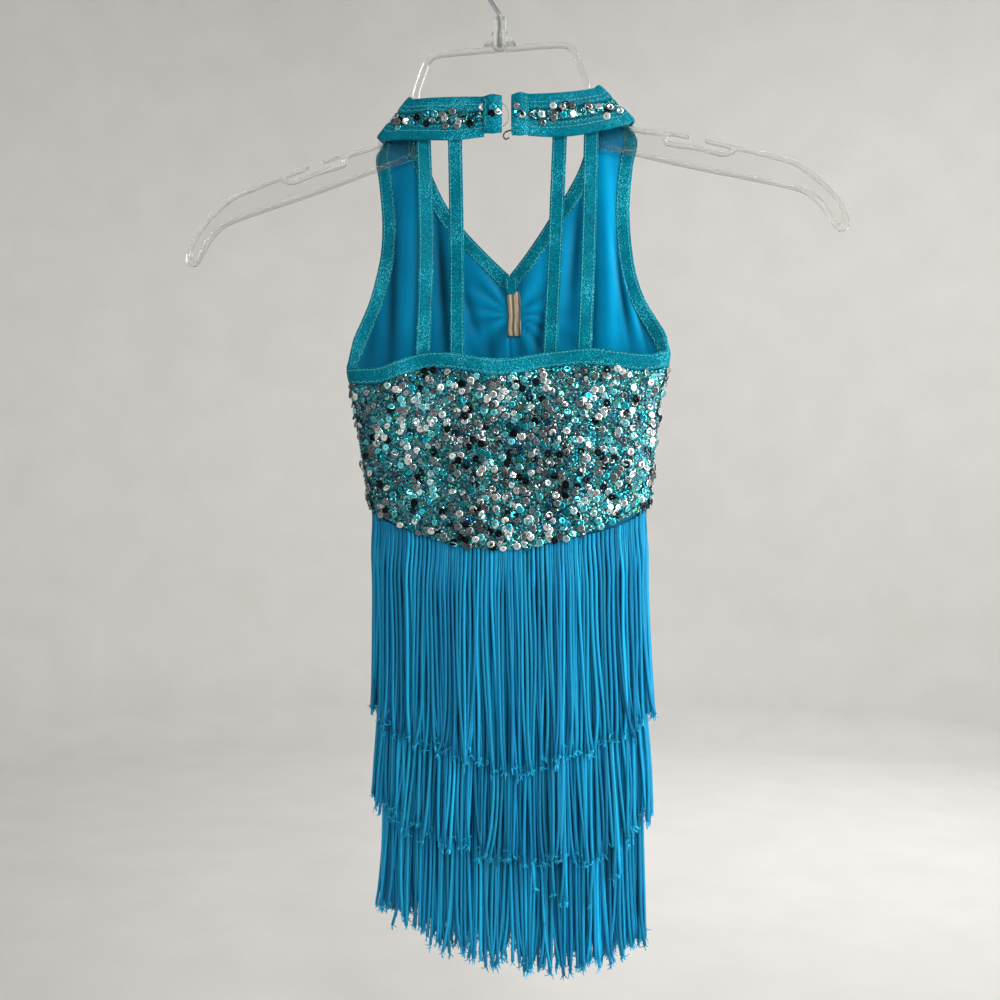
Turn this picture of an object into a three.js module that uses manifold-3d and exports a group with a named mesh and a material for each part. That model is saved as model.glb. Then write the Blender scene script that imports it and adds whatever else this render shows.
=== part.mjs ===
// Child's halter dance costume with three tiers of fringe, hanging on a clear plastic hanger.
// Millimetres. X to the right of the costume's back, +Y towards its front, +Z up.
// The origin is the inside top of the hanger's hook, where a rail carries it.
import * as THREE from 'three';
import Module from 'manifold-3d';
import { mergeVertices } from 'three/addons/utils/BufferGeometryUtils.js';

const wasm = await Module();
wasm.setup();

// ---- driving sizes -------------------------------------------------------------------------
const GAP = 0.3;                 // between neighbouring pieces at every seam
const SEAM_EASE = 0.8;           // the same where a straight row meets a curved binding
const CLOTH = 1.2;               // sequin cloth wall
const LINING = 1.0;              // plain lining wall
const BINDING_WIDTH = 9.5;       // glitter elastic, folded over an edge
const BINDING_HALF = 1.4;        // half the thickness of a folded-over binding
const COLLAR_BINDING_HALF = 1.2; // the same on the collar, where it passes over the hanger
const COLLAR_HALF = 0.8;         // half the wall of the collar's sequin strip
const STRAP_HALF = 0.7;          // half the thickness of a back strap
const FOLD_RADIUS = 4.1;         // middle of the collar's wall as it folds over the hanger
const FOLD_SHARE = 0.95;         // part of the half turn that belongs to the collar
const SIDE_GAP = 0.15;           // how far each side seam stays from the middle plane
const SIDE_ROUNDNESS = 0.8;      // power that flattens the body's section
const BACK_BAND_BINDING = 11;    // depth of the binding along the back band
const CENTRE = 4.6;              // middle of the costume; it hangs a little right of the hook

// One row for each section of the body: its left and right side, and half its depth.
const BODY = [
  { z: -100, left: -103.4, right: 110.2, depth: 9 },
  { z: -200, left: -103.4, right: 110.2, depth: 11 },
  { z: -262, left: -103.2, right: 109.8, depth: 13 },
  { z: -284, left: -102.2, right: 108.2, depth: 14 },
  { z: -305, left: -97.5, right: 103.2, depth: 15 },
  { z: -345, left: -91.5, right: 98.6, depth: 17 },
  { z: -380, left: -86.2, right: 95.6, depth: 18 },
  { z: -410, left: -84.0, right: 94.6, depth: 18 },
];

// Where the collar folds over the hanger: the axis of the fold, top end and bottom end.
const FOLD = {
  left: { topX: -56.6, topZ: -109.0, lowX: -78.8, lowZ: -135.1 },
  right: { topX: 61.4, topZ: -108.1, lowX: 84.3, lowZ: -131.9 },
};

// Armhole of the front: its free edge, and the seam where the binding ends on the cloth.
const ARMHOLE = {
  left: [
    { edgeX: -80.4, edgeZ: -137.2, seamX: -72.0, seamZ: -127.7 },
    { edgeX: -84.2, edgeZ: -145.0, seamX: -74.7, seamZ: -143.0 },
    { edgeX: -82.3, edgeZ: -160.0, seamX: -72.8, seamZ: -160.0 },
    { edgeX: -80.7, edgeZ: -184.0, seamX: -71.2, seamZ: -184.0 },
    { edgeX: -81.5, edgeZ: -204.0, seamX: -72.2, seamZ: -205.5 },
    { edgeX: -84.1, edgeZ: -218.6, seamX: -75.0, seamZ: -221.0 },
    { edgeX: -89.0, edgeZ: -237.2, seamX: -80.3, seamZ: -240.5 },
    { edgeX: -94.8, edgeZ: -251.9, seamX: -86.8, seamZ: -256.5 },
    { edgeX: -99.5, edgeZ: -263.0, seamX: -92.5, seamZ: -270.0 },
    { edgeX: -101.8, edgeZ: -274.0, seamX: -97.6, seamZ: -283.0 },
    { edgeX: -102.6, edgeZ: -283.0, seamX: -101.0, seamZ: -293.5 },
  ],
  right: [
    { edgeX: 87.0, edgeZ: -135.2, seamX: 78.6, seamZ: -126.8 },
    { edgeX: 89.0, edgeZ: -142.4, seamX: 79.6, seamZ: -141.0 },
    { edgeX: 86.0, edgeZ: -158.0, seamX: 76.5, seamZ: -158.0 },
    { edgeX: 84.0, edgeZ: -181.0, seamX: 74.5, seamZ: -181.0 },
    { edgeX: 84.3, edgeZ: -196.3, seamX: 74.9, seamZ: -197.5 },
    { edgeX: 86.1, edgeZ: -214.5, seamX: 76.9, seamZ: -217.0 },
    { edgeX: 89.1, edgeZ: -228.9, seamX: 80.1, seamZ: -232.2 },
    { edgeX: 93.9, edgeZ: -242.0, seamX: 86.0, seamZ: -247.2 },
    { edgeX: 101.0, edgeZ: -254.5, seamX: 94.3, seamZ: -261.3 },
    { edgeX: 106.8, edgeZ: -264.5, seamX: 101.5, seamZ: -275.0 },
    { edgeX: 109.0, edgeZ: -275.0, seamX: 106.6, seamZ: -286.0 },
  ],
};

// Open V neck of the front, in the same columns, from the fold down to the point of the V.
const NECK = {
  left: [
    { edgeX: -56.4, edgeZ: -109.2, seamX: -64.5, seamZ: -118.5 },
    { edgeX: -53.7, edgeZ: -136.8, seamX: -62.6, seamZ: -140.0 },
    { edgeX: -47.5, edgeZ: -153.8, seamX: -56.0, seamZ: -158.5 },
    { edgeX: -37.3, edgeZ: -175.7, seamX: -44.9, seamZ: -181.5 },
    { edgeX: -25.5, edgeZ: -192.1, seamX: -32.4, seamZ: -198.7 },
    { edgeX: -15.2, edgeZ: -203.5, seamX: -21.8, seamZ: -210.3 },
    { edgeX: -4.8, edgeZ: -214.1, seamX: -11.0, seamZ: -221.3 },
    { edgeX: 4.4, edgeZ: -222.8, seamX: 4.4, seamZ: -236.0 },
  ],
  right: [
    { edgeX: 61.2, edgeZ: -108.3, seamX: 69.6, seamZ: -117.0 },
    { edgeX: 57.2, edgeZ: -135.3, seamX: 66.2, seamZ: -138.5 },
    { edgeX: 52.4, edgeZ: -153.4, seamX: 61.0, seamZ: -157.5 },
    { edgeX: 43.2, edgeZ: -170.8, seamX: 51.4, seamZ: -175.8 },
    { edgeX: 32.5, edgeZ: -185.5, seamX: 40.4, seamZ: -191.0 },
    { edgeX: 22.4, edgeZ: -200.0, seamX: 30.2, seamZ: -205.5 },
    { edgeX: 12.8, edgeZ: -213.0, seamX: 19.4, seamZ: -220.0 },
    { edgeX: 4.8, edgeZ: -222.8, seamX: 4.8, seamZ: -236.0 },
  ],
};

// Rows of the front: height at its inner end (neck or middle) and at its outer end.
const FRONT_ROWS = [
  { inner: -121.3, outer: -127.3 },
  { inner: -140, outer: -143 },
  { inner: -158, outer: -160 },
  { inner: -175, outer: -175 },
  { inner: -190, outer: -190 },
  { inner: -202, outer: -203 },
  { inner: -213, outer: -214 },
  { inner: -223, outer: -224 },
  { inner: -236.4, outer: -235 },
  { inner: -248, outer: -246 },
  { inner: -262, outer: -258 },
  { inner: -276, outer: -270 },
  { inner: -288, outer: -280 },
  { inner: -298, outer: -296 },
  { inner: -315, outer: -309 },
  { inner: -335, outer: -325 },
  { inner: -356, outer: -342 },
  { inner: -377, outer: -358 },
  { inner: -390, outer: -369 },
];
const MITRE_ROW = 8;             // first row that reaches the middle, under the V

// Lower edge of the sequin body, across its width (fraction of the half width).
const WAIST = [
  { across: -1.0, z: -377 },
  { across: -0.74, z: -389 },
  { across: -0.38, z: -400 },
  { across: 0.06, z: -403 },
  { across: 0.4, z: -397.5 },
  { across: 0.68, z: -389 },
  { across: 1.0, z: -377 },
];

// Top edge of the low back, with the ripple that its binding makes towards the front (+).
const BACK_TOP = [
  { across: -1.0, z: -284.5, ripple: 0 },
  { across: -0.78, z: -284.6, ripple: 0.5 },
  { across: -0.65, z: -280.9, ripple: -1.4 },
  { across: -0.52, z: -276.8, ripple: 1.2 },
  { across: -0.4, z: -275.6, ripple: 1.6 },
  { across: -0.25, z: -277.4, ripple: -0.8 },
  { across: -0.08, z: -280.7, ripple: -2.4 },
  { across: 0.05, z: -281.0, ripple: -1.8 },
  { across: 0.22, z: -278.1, ripple: 0.9 },
  { across: 0.34, z: -276.5, ripple: 2.0 },
  { across: 0.53, z: -275.0, ripple: 1.4 },
  { across: 0.7, z: -277.2, ripple: -1.2 },
  { across: 0.88, z: -279.0, ripple: -0.4 },
  { across: 1.0, z: -276.0, ripple: 0 },
];

// Back straps: middle line at the collar, half way and at the back band.
const STRAPS = [
  { topX: -50.1, middleX: -47.8, lowX: -50.2 },
  { topX: -28.7, middleX: -27.0, lowX: -26.5 },
  { topX: 40.2, middleX: 37.0, lowX: 33.2 },
  { topX: 60.0, middleX: 58.2, lowX: 55.1 },
];
const STRAP_TOP = -127;
const STRAP_END = -290;

// Back collar: upper and lower edge of each half, from the end tab to the fold's axis.
const COLLAR = {
  left: [
    { upperX: -8.9, upperZ: -111.6, lowerX: -8.9, lowerZ: -137.6, y: -10.0 },
    { upperX: -24.0, upperZ: -110.7, lowerX: -27.0, lowerZ: -138.6, y: -9.4 },
    { upperX: -38.0, upperZ: -110.0, lowerX: -44.9, lowerZ: -137.6, y: -8.4 },
    { upperX: -49.0, upperZ: -109.4, lowerX: -63.0, lowerZ: -135.8, y: -6.4 },
    { upperX: -56.6, upperZ: -109.0, lowerX: -78.8, lowerZ: -135.1, y: -4.1 },
  ],
  right: [
    { upperX: 19.7, upperZ: -111.4, lowerX: 19.7, lowerZ: -138.2, y: -10.0 },
    { upperX: 31.0, upperZ: -111.4, lowerX: 35.0, lowerZ: -139.6, y: -9.4 },
    { upperX: 42.0, upperZ: -111.0, lowerX: 51.0, lowerZ: -139.0, y: -8.4 },
    { upperX: 52.5, upperZ: -109.8, lowerX: 68.0, lowerZ: -135.8, y: -6.4 },
    { upperX: 61.4, upperZ: -108.1, lowerX: 84.3, lowerZ: -131.9, y: -4.1 },
  ],
};
const COLLAR_SPLIT = { topBinding: 0.36, stripStart: 0.372, stripEnd: 0.628, lowBinding: 0.64 };
const COLLAR_TABS = [
  { name: 'collar_tab_left', left: -8.6, right: 2.6, top: -111.6, bottom: -135.4 },
  { name: 'collar_tab_right', left: 9.8, right: 19.4, top: -111.4, bottom: -137.6 },
];
const TAB_MIDDLE_Y = -10.2;

// Fringe tiers: the height of each heading at the sides and in the middle, how far its strands
// stand off the skirt, and where they end from the left side to the right side.
const TIERS = [
  {
    name: 'fringe_tier_1', sideZ: -373, middleZ: -396, stand: 7.6, colour: 0x1490b4,
    ends: [
      { across: -1.0, z: -507 }, { across: -0.72, z: -528 }, { across: -0.38, z: -535 },
      { across: 0.06, z: -544 }, { across: 0.4, z: -534 }, { across: 0.68, z: -525 },
      { across: 1.0, z: -507 },
    ],
  },
  {
    name: 'fringe_tier_2', sideZ: -426, middleZ: -447, stand: 4.8, colour: 0x1288ae,
    ends: [
      { across: -1.0, z: -569 }, { across: -0.72, z: -580 }, { across: -0.38, z: -593 },
      { across: 0.0, z: -599 }, { across: 0.3, z: -599 }, { across: 0.68, z: -590 },
      { across: 1.0, z: -564 },
    ],
  },
  {
    name: 'fringe_tier_3', sideZ: -494, middleZ: -515, stand: 1.9, colour: 0x1080a6,
    ends: [
      { across: -1.0, z: -637 }, { across: -0.65, z: -651 }, { across: -0.38, z: -662 },
      { across: 0.0, z: -667 }, { across: 0.3, z: -668 }, { across: 0.68, z: -660 },
      { across: 1.0, z: -640 },
    ],
  },
];
const STRANDS_PER_TIER = 72;
const STRAND_WIDTH = 3.0;        // round the skirt
const STRAND_THICKNESS = 1.9;
const STRAND_SWAY = 0.7;         // most that a strand leaves its place, to either side
const STRAND_LEVELS = [0.42, 1]; // parts of its length where a strand has a section
const HEADING_DEPTH = 8;
const HEADING_WALL = 1.2;
const SKIRT_WALL = 1.0;
const HEADING_STAND = SKIRT_WALL / 2 + SEAM_EASE + HEADING_WALL / 2;
const SKIRT = [
  { z: -372, left: -81.0, right: 90.0, depth: 14.0 },
  { z: -410, left: -77.4, right: 87.6, depth: 13.0 },
  { z: -460, left: -76.6, right: 88.0, depth: 12.4 },
  { z: -530, left: -75.4, right: 89.6, depth: 12.0 },
  { z: -680, left: -75.0, right: 90.6, depth: 12.0 },
];
const SKIRT_TOP = -374;
const SKIRT_END = -527;

// Hanger: one half of its outline; the other half mirrors it.
const HANGER_THICKNESS = 4.4;
const HANGER_ROLL = 1.25;        // degrees, its right arm is a little higher
const HANGER_PIVOT = { x: 1.2, z: -150 };
const HANGER_TOP = [
  { x: 0, z: -75.2 }, { x: 12, z: -75.6 }, { x: 40, z: -76.4 }, { x: 46, z: -78 },
  { x: 49.5, z: -81 }, { x: 52, z: -85.5 }, { x: 58.2, z: -102.5 }, { x: 58.3, z: -110.5 },
  { x: 68, z: -120.8 }, { x: 80, z: -132.2 }, { x: 92, z: -135.8 }, { x: 106, z: -138.8 },
  { x: 120.3, z: -142.3 }, { x: 120.3, z: -144.4 }, { x: 108.6, z: -141.7 },
  { x: 108, z: -145 }, { x: 125, z: -149.2 }, { x: 142, z: -154.4 }, { x: 146.4, z: -152.8 },
  { x: 131, z: -147.6 }, { x: 131.5, z: -145.6 }, { x: 149, z: -150.6 }, { x: 170, z: -156.8 },
  { x: 185, z: -162.2 }, { x: 192, z: -166.6 }, { x: 198, z: -171.5 }, { x: 207, z: -180.5 },
  { x: 213, z: -188.5 }, { x: 217, z: -197 }, { x: 218, z: -204 }, { x: 216.5, z: -207.6 },
];
const HANGER_UNDER = [
  { x: 211.5, z: -208.4 }, { x: 207, z: -203 }, { x: 201.6, z: -194 }, { x: 196, z: -187.6 },
  { x: 189, z: -182.6 }, { x: 176, z: -178.4 }, { x: 162, z: -174.4 }, { x: 137, z: -167.8 },
  { x: 108, z: -159.6 }, { x: 81, z: -151.4 }, { x: 60, z: -145.6 }, { x: 56.8, z: -143.2 },
  { x: 55.6, z: -136 }, { x: 55.2, z: -125 }, { x: 54.2, z: -104 }, { x: 48.6, z: -88 },
  { x: 46, z: -83 }, { x: 41, z: -80.2 }, { x: 12, z: -79.6 }, { x: 0, z: -79.4 },
];
// Sunk panel that leaves each arm with a rim and a thin web.
const HANGER_RECESS = [
  { x: 64, z: -126 }, { x: 78, z: -134.8 }, { x: 91, z: -139 }, { x: 103, z: -141.8 },
  { x: 106, z: -147.6 }, { x: 125, z: -152 }, { x: 142, z: -157.2 }, { x: 148.5, z: -155.6 },
  { x: 151, z: -154.2 }, { x: 169, z: -159.6 }, { x: 184, z: -165 }, { x: 196, z: -173.8 },
  { x: 204.6, z: -182.4 }, { x: 210.4, z: -190.4 }, { x: 213.8, z: -198.4 },
  { x: 213.4, z: -203 }, { x: 210.4, z: -203.2 }, { x: 205.4, z: -193 },
  { x: 198.4, z: -184.8 }, { x: 190.4, z: -179.8 }, { x: 177, z: -175.6 },
  { x: 163, z: -171.6 }, { x: 138, z: -165 }, { x: 109, z: -156.8 }, { x: 82, z: -148.6 },
  { x: 62.6, z: -142.6 }, { x: 59.6, z: -139 }, { x: 59.4, z: -128 },
];
const RECESS_DEPTH = 1.5;
const BOSS = { radius: 4.0, top: -57.5, foot: -77.6 };
const GUSSET = [
  { x: -11, z: -76.5 }, { x: -3.2, z: -65.5 }, { x: 3.2, z: -65.5 }, { x: 11, z: -76.5 },
];
const HOOK = { wire: 1.3, radius: 20, bendZ: -55.5, footZ: -77.4, clearance: 0.3, endAngle: -22 };

const COLOURS = {
  sequin: 0x6fb3b8, lining: 0x0f86bd, binding: 0x12838c, elastic: 0xa8906c,
  clear: 0xe4e3dc, steel: 0xb9bcc0, skirt: 0x0f7fa4, wire: 0x2c2f33,
};

// ---- helpers -------------------------------------------------------------------------------
function mix(a, b, t) {
  return a + (b - a) * t;
}

function smoothstep(low, high, value) {
  const t = Math.min(1, Math.max(0, (value - low) / (high - low)));
  return t * t * (3 - 2 * t);
}

// Reads a column of a table at a value of its key column, by a smooth curve through the rows.
function read(table, key, value, column) {
  const rising = table[table.length - 1][key] > table[0][key];
  let row = 0;
  while (row < table.length - 2 && (rising ? value > table[row + 1][key] : value < table[row + 1][key])) {
    row += 1;
  }
  const before = table[Math.max(0, row - 1)];
  const a = table[row];
  const b = table[row + 1];
  const after = table[Math.min(table.length - 1, row + 2)];
  const t = Math.min(1, Math.max(0, (value - a[key]) / (b[key] - a[key])));
  const slopeA = (b[column] - before[column]) / (b[key] - before[key]);
  const slopeB = (after[column] - a[column]) / (after[key] - a[key]);
  const span = b[key] - a[key];
  const t2 = t * t;
  const t3 = t2 * t;
  return (2 * t3 - 3 * t2 + 1) * a[column] + (t3 - 2 * t2 + t) * span * slopeA
    + (3 * t2 - 2 * t3) * b[column] + (t3 - t2) * span * slopeB;
}

// A steady pseudo-random number from 0 to 1 for a whole number.
function steady(index) {
  const wave = Math.sin(index * 12.9898 + 4.1414) * 43758.5453;
  return wave - Math.floor(wave);
}

function geometryFrom(points, triangles) {
  let volume = 0;
  for (const [a, b, c] of triangles) {
    volume += points[a].dot(new THREE.Vector3().crossVectors(points[b], points[c]));
  }
  const positions = new Float32Array(points.length * 3);
  points.forEach((point, index) => point.toArray(positions, index * 3));
  const order = volume < 0 ? triangles.map(([a, b, c]) => [a, c, b]) : triangles;
  const geometry = new THREE.BufferGeometry();
  geometry.setAttribute('position', new THREE.BufferAttribute(positions, 3));
  geometry.setIndex(order.flat());
  return geometry;
}

// Turns an open sheet of quads into a closed wall that reaches from `inward` to `outward`
// along the sheet's own normals. Free edges get a rim.
function thicken(points, quads, outward, inward) {
  const normals = points.map(() => new THREE.Vector3());
  for (const quad of quads) {
    const first = new THREE.Vector3().subVectors(points[quad[2]], points[quad[0]]);
    const second = new THREE.Vector3().subVectors(points[quad[3]], points[quad[1]]);
    const normal = first.cross(second);
    quad.forEach((corner) => normals[corner].add(normal));
  }
  normals.forEach((normal, i) => {
    if (Math.abs(points[i].y) < SIDE_GAP * 1.01) {
      normal.setY(0);
    }
    normal.normalize();
  });
  const count = points.length;
  const outer = points.map((point, i) => point.clone().addScaledVector(normals[i], outward));
  const inner = points.map((point, i) => point.clone().addScaledVector(normals[i], inward));
  const triangles = [];
  const edges = new Map();
  for (const [a, b, c, d] of quads) {
    triangles.push([a, b, c], [a, c, d]);
    triangles.push([count + a, count + c, count + b], [count + a, count + d, count + c]);
    for (const [from, to] of [[a, b], [b, c], [c, d], [d, a]]) {
      if (edges.has(`${to},${from}`)) {
        edges.delete(`${to},${from}`);
      } else {
        edges.set(`${from},${to}`, [from, to]);
      }
    }
  }
  for (const [from, to] of edges.values()) {
    triangles.push([from, count + to, to], [from, count + from, count + to]);
  }
  return geometryFrom(outer.concat(inner), triangles);
}

// Points and quads of a grid; `around` joins its last column to its first.
function grid(rows, columns, place, around = false) {
  const points = [];
  const quads = [];
  const width = around ? columns : columns + 1;
  for (let row = 0; row <= rows; row += 1) {
    for (let column = 0; column < width; column += 1) {
      points.push(place(row / rows, column / columns));
    }
  }
  for (let row = 0; row < rows; row += 1) {
    for (let column = 0; column < columns; column += 1) {
      const next = (column + 1) % width;
      quads.push([row * width + column, row * width + next,
        (row + 1) * width + next, (row + 1) * width + column]);
    }
  }
  return { points, quads };
}

function wall(rows, columns, place, outward, inward, around = false) {
  const sheet = grid(rows, columns, place, around);
  return thicken(sheet.points, sheet.quads, outward, inward);
}

function flatShape(rows) {
  return new THREE.Shape(rows.map((row) => new THREE.Vector2(row.x, row.z)));
}

// Extrudes an outline drawn in X and Z, centred on the given Y.
function plate(rows, thickness, middleY) {
  const geometry = new THREE.ExtrudeGeometry(flatShape(rows), { depth: thickness, bevelEnabled: false });
  geometry.rotateX(Math.PI / 2);
  geometry.translate(0, middleY + thickness / 2, 0);
  return geometry;
}

function solid(geometry) {
  const bare = geometry.clone();
  bare.deleteAttribute('normal');
  bare.deleteAttribute('uv');
  const merged = mergeVertices(bare, 1e-4);
  return new wasm.Manifold(new wasm.Mesh({
    numProp: 3,
    vertProperties: new Float32Array(merged.attributes.position.array),
    triVerts: new Uint32Array(merged.index.array),
  }));
}

function geometryOf(manifold) {
  const mesh = manifold.getMesh();
  const geometry = new THREE.BufferGeometry();
  geometry.setAttribute('position', new THREE.BufferAttribute(new Float32Array(mesh.vertProperties), 3));
  geometry.setIndex(Array.from(mesh.triVerts));
  return geometry;
}

const costume = new THREE.Group();

function piece(name, geometry, color, roughness, metalness = 0) {
  const mesh = new THREE.Mesh(geometry, new THREE.MeshStandardMaterial({ color, roughness, metalness }));
  mesh.name = name;
  costume.add(mesh);
}

// ---- the body's form -----------------------------------------------------------------------
function halfWidth(z) {
  return (read(BODY, 'z', z, 'right') - read(BODY, 'z', z, 'left')) / 2;
}

function middle(z) {
  return (read(BODY, 'z', z, 'right') + read(BODY, 'z', z, 'left')) / 2;
}

function turnAt(x, z) {
  return Math.asin(Math.min(1, Math.max(-1, (x - middle(z)) / halfWidth(z))));
}

// A point of the body's surface: turn -90 to 90 degrees from its left side to its right side.
// Near the top the front lies flat behind the fold over the hanger.
function bodyPoint(turn, z, side) {
  const rounded = read(BODY, 'z', z, 'depth') * Math.cos(turn) ** SIDE_ROUNDNESS;
  const flat = side > 0 ? smoothstep(-205, -137, z) : 0;
  const depth = Math.max(SIDE_GAP, mix(rounded, FOLD_RADIUS, flat));
  return new THREE.Vector3(middle(z) + halfWidth(z) * Math.sin(turn), side * depth, z);
}

function frontPoint(x, z) {
  return bodyPoint(turnAt(x, z), z, 1);
}

function waistAt(turn) {
  return read(WAIST, 'across', Math.sin(turn), 'z');
}

// ---- front and its lining ------------------------------------------------------------------
// Each half has a row of points for each front row. Under the V the halves share the middle
// points, so the front is one sheet with two wings.
function frontSheet(columns) {
  const points = [];
  const quads = [];
  const shared = [];
  for (const [name, sign] of [['left', -1], ['right', 1]]) {
    const rows = FRONT_ROWS.map((row, index) => {
      const innerX = index < MITRE_ROW ? read(NECK[name], 'seamZ', row.inner, 'seamX') + sign * SEAM_EASE : CENTRE;
      const underArm = row.outer < ARMHOLE[name].at(-1).seamZ;
      const outerTurn = underArm
        ? sign * Math.PI / 2
        : turnAt(read(ARMHOLE[name], 'seamZ', row.outer, 'seamX') - sign * SEAM_EASE, row.outer);
      const innerTurn = turnAt(innerX, row.inner);
      const indices = [];
      for (let column = 0; column <= columns; column += 1) {
        const across = column / columns;
        if (column === 0 && index >= MITRE_ROW && shared[index] !== undefined) {
          indices.push(shared[index]);
        } else {
          indices.push(points.length);
          points.push(bodyPoint(mix(innerTurn, outerTurn, across), mix(row.inner, row.outer, across), 1));
        }
      }
      if (index >= MITRE_ROW) {
        shared[index] = indices[0];
      }
      return indices;
    });
    rows.push(rows.at(-1).map((ignored, column) => {
      const turn = mix(turnAt(CENTRE, WAIST[3].z), sign * Math.PI / 2, column / columns);
      const known = shared[rows.length];
      if (column === 0 && known !== undefined) {
        return known;
      }
      points.push(bodyPoint(turn, waistAt(turn), 1));
      return points.length - 1;
    }));
    shared[rows.length - 1] = rows.at(-1)[0];
    for (let row = 0; row < rows.length - 1; row += 1) {
      for (let column = 0; column < columns; column += 1) {
        const quad = [rows[row][column], rows[row][column + 1], rows[row + 1][column + 1], rows[row + 1][column]];
        quads.push(sign > 0 ? quad : quad.reverse());
      }
    }
  }
  return { points, quads };
}

const frontForm = frontSheet(6);
piece('front_panel', thicken(frontForm.points, frontForm.quads, GAP / 2, GAP / 2 + CLOTH),
  COLOURS.sequin, 0.45, 0.3);
piece('front_lining', thicken(frontForm.points, frontForm.quads, -GAP / 2, -GAP / 2 - LINING),
  COLOURS.lining, 0.5);

// ---- bindings of the front -----------------------------------------------------------------
function edgeBinding(table, rows) {
  const last = table.length - 1;
  const numbered = table.map((row, index) => ({ ...row, index }));
  return wall(rows, 1, (along, across) => {
    const x = mix(read(numbered, 'index', along * last, 'edgeX'), read(numbered, 'index', along * last, 'seamX'), across);
    const z = mix(read(numbered, 'index', along * last, 'edgeZ'), read(numbered, 'index', along * last, 'seamZ'), across);
    return frontPoint(x, z);
  }, BINDING_HALF, -BINDING_HALF);
}

for (const name of ['left', 'right']) {
  piece(`front_binding_armhole_${name}`, edgeBinding(ARMHOLE[name], 18), COLOURS.binding, 0.4, 0.2);
  piece(`front_binding_v_${name}`, edgeBinding(NECK[name], 14), COLOURS.binding, 0.4, 0.2);
}

// Short elastic that gathers the front, inside the lining below the point of the V.
const ELASTIC = { x: 7.2, top: -235.2, bottom: -262.4, halfWidth: 4, wall: 1.2 };
piece('gather_elastic', wall(4, 1, (along, across) => {
  const x = ELASTIC.x + mix(-ELASTIC.halfWidth, ELASTIC.halfWidth, across);
  const z = mix(ELASTIC.top, ELASTIC.bottom, along);
  const point = frontPoint(x, z);
  point.y -= GAP / 2 + LINING + GAP + ELASTIC.wall / 2;
  return point;
}, ELASTIC.wall / 2, -ELASTIC.wall / 2), COLOURS.elastic, 0.8);

// ---- low back ------------------------------------------------------------------------------
function backTurn(across) {
  return mix(Math.PI / 2, -Math.PI / 2, across);
}

function backTop(turn) {
  return read(BACK_TOP, 'across', Math.sin(turn), 'z');
}

function backPoint(turn, z) {
  const point = bodyPoint(turn, z, -1);
  const fade = smoothstep(BACK_BAND_BINDING * 3, 0, backTop(turn) - z);
  point.y += read(BACK_TOP, 'across', Math.sin(turn), 'ripple') * fade;
  return point;
}

piece('back_binding', wall(1, 28, (down, across) => {
  const turn = backTurn(across);
  return backPoint(turn, backTop(turn) - down * BACK_BAND_BINDING);
}, BINDING_HALF, -BINDING_HALF), COLOURS.binding, 0.4, 0.2);

piece('back_panel', wall(6, 22, (down, across) => {
  const turn = backTurn(across);
  return backPoint(turn, mix(backTop(turn) - BACK_BAND_BINDING - GAP, waistAt(turn), down));
}, GAP / 2, GAP / 2 + CLOTH), COLOURS.sequin, 0.45, 0.3);

// ---- collar --------------------------------------------------------------------------------
// The strip runs from its end tab (along = 0) to the fold's axis (1) and half a turn round it (2).
function collarPoint(name, along, across) {
  const fold = FOLD[name];
  if (along <= 1) {
    const table = COLLAR[name].map((row, index) => ({ ...row, index }));
    const index = along * (table.length - 1);
    return new THREE.Vector3(
      mix(read(table, 'index', index, 'upperX'), read(table, 'index', index, 'lowerX'), across),
      read(table, 'index', index, 'y'),
      mix(read(table, 'index', index, 'upperZ'), read(table, 'index', index, 'lowerZ'), across),
    );
  }
  const turn = (along - 1) * Math.PI - Math.PI / 2;
  const line = new THREE.Vector2(fold.lowX - fold.topX, fold.lowZ - fold.topZ).normalize();
  const sign = name === 'left' ? -1 : 1;
  const out = new THREE.Vector2(-line.y * sign, line.x * sign);
  const reach = FOLD_RADIUS * Math.cos(turn);
  return new THREE.Vector3(
    mix(fold.topX, fold.lowX, across) + out.x * reach,
    FOLD_RADIUS * Math.sin(turn),
    mix(fold.topZ, fold.lowZ, across) + out.y * reach,
  );
}

function collarStrip(name, from, to, columns, half) {
  return wall(12, columns, (along, across) => {
    const eased = along < 0.6 ? along / 0.6 : 1 + (along - 0.6) / 0.4 * FOLD_SHARE;
    return collarPoint(name, eased, mix(from, to, across));
  }, half, -half);
}

for (const name of ['left', 'right']) {
  piece(`collar_${name}`, collarStrip(name, COLLAR_SPLIT.stripStart, COLLAR_SPLIT.stripEnd, 1, COLLAR_HALF),
    COLOURS.sequin, 0.45, 0.3);
  piece(`collar_binding_top_${name}`, collarStrip(name, 0, COLLAR_SPLIT.topBinding, 1, COLLAR_BINDING_HALF),
    COLOURS.binding, 0.4, 0.2);
  piece(`collar_binding_low_${name}`, collarStrip(name, COLLAR_SPLIT.lowBinding, 1, 1, COLLAR_BINDING_HALF),
    COLOURS.binding, 0.4, 0.2);
}

// End tabs: the binding folded round each end, with a rounded section.
const TAB_BULGE = 1.2;
for (const tab of COLLAR_TABS) {
  piece(tab.name, wall(2, 4, (down, across) => {
    const bulge = TAB_BULGE * Math.sin(across * Math.PI);
    return new THREE.Vector3(mix(tab.left, tab.right, across), TAB_MIDDLE_Y - bulge, mix(tab.top, tab.bottom, down));
  }, BINDING_HALF, -BINDING_HALF), COLOURS.binding, 0.4, 0.2);
}

// ---- closure -------------------------------------------------------------------------------
// A bent wire along given points, with a round section.
function wire(points, radius, steps, sides) {
  const circle = new THREE.Shape();
  circle.absarc(0, 0, radius, 0, Math.PI * 2, false);
  const curve = new THREE.CatmullRomCurve3(points, false, 'centripetal');
  return new THREE.ExtrudeGeometry(circle, { steps, extrudePath: curve, bevelEnabled: false, curveSegments: sides / 2 });
}

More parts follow.
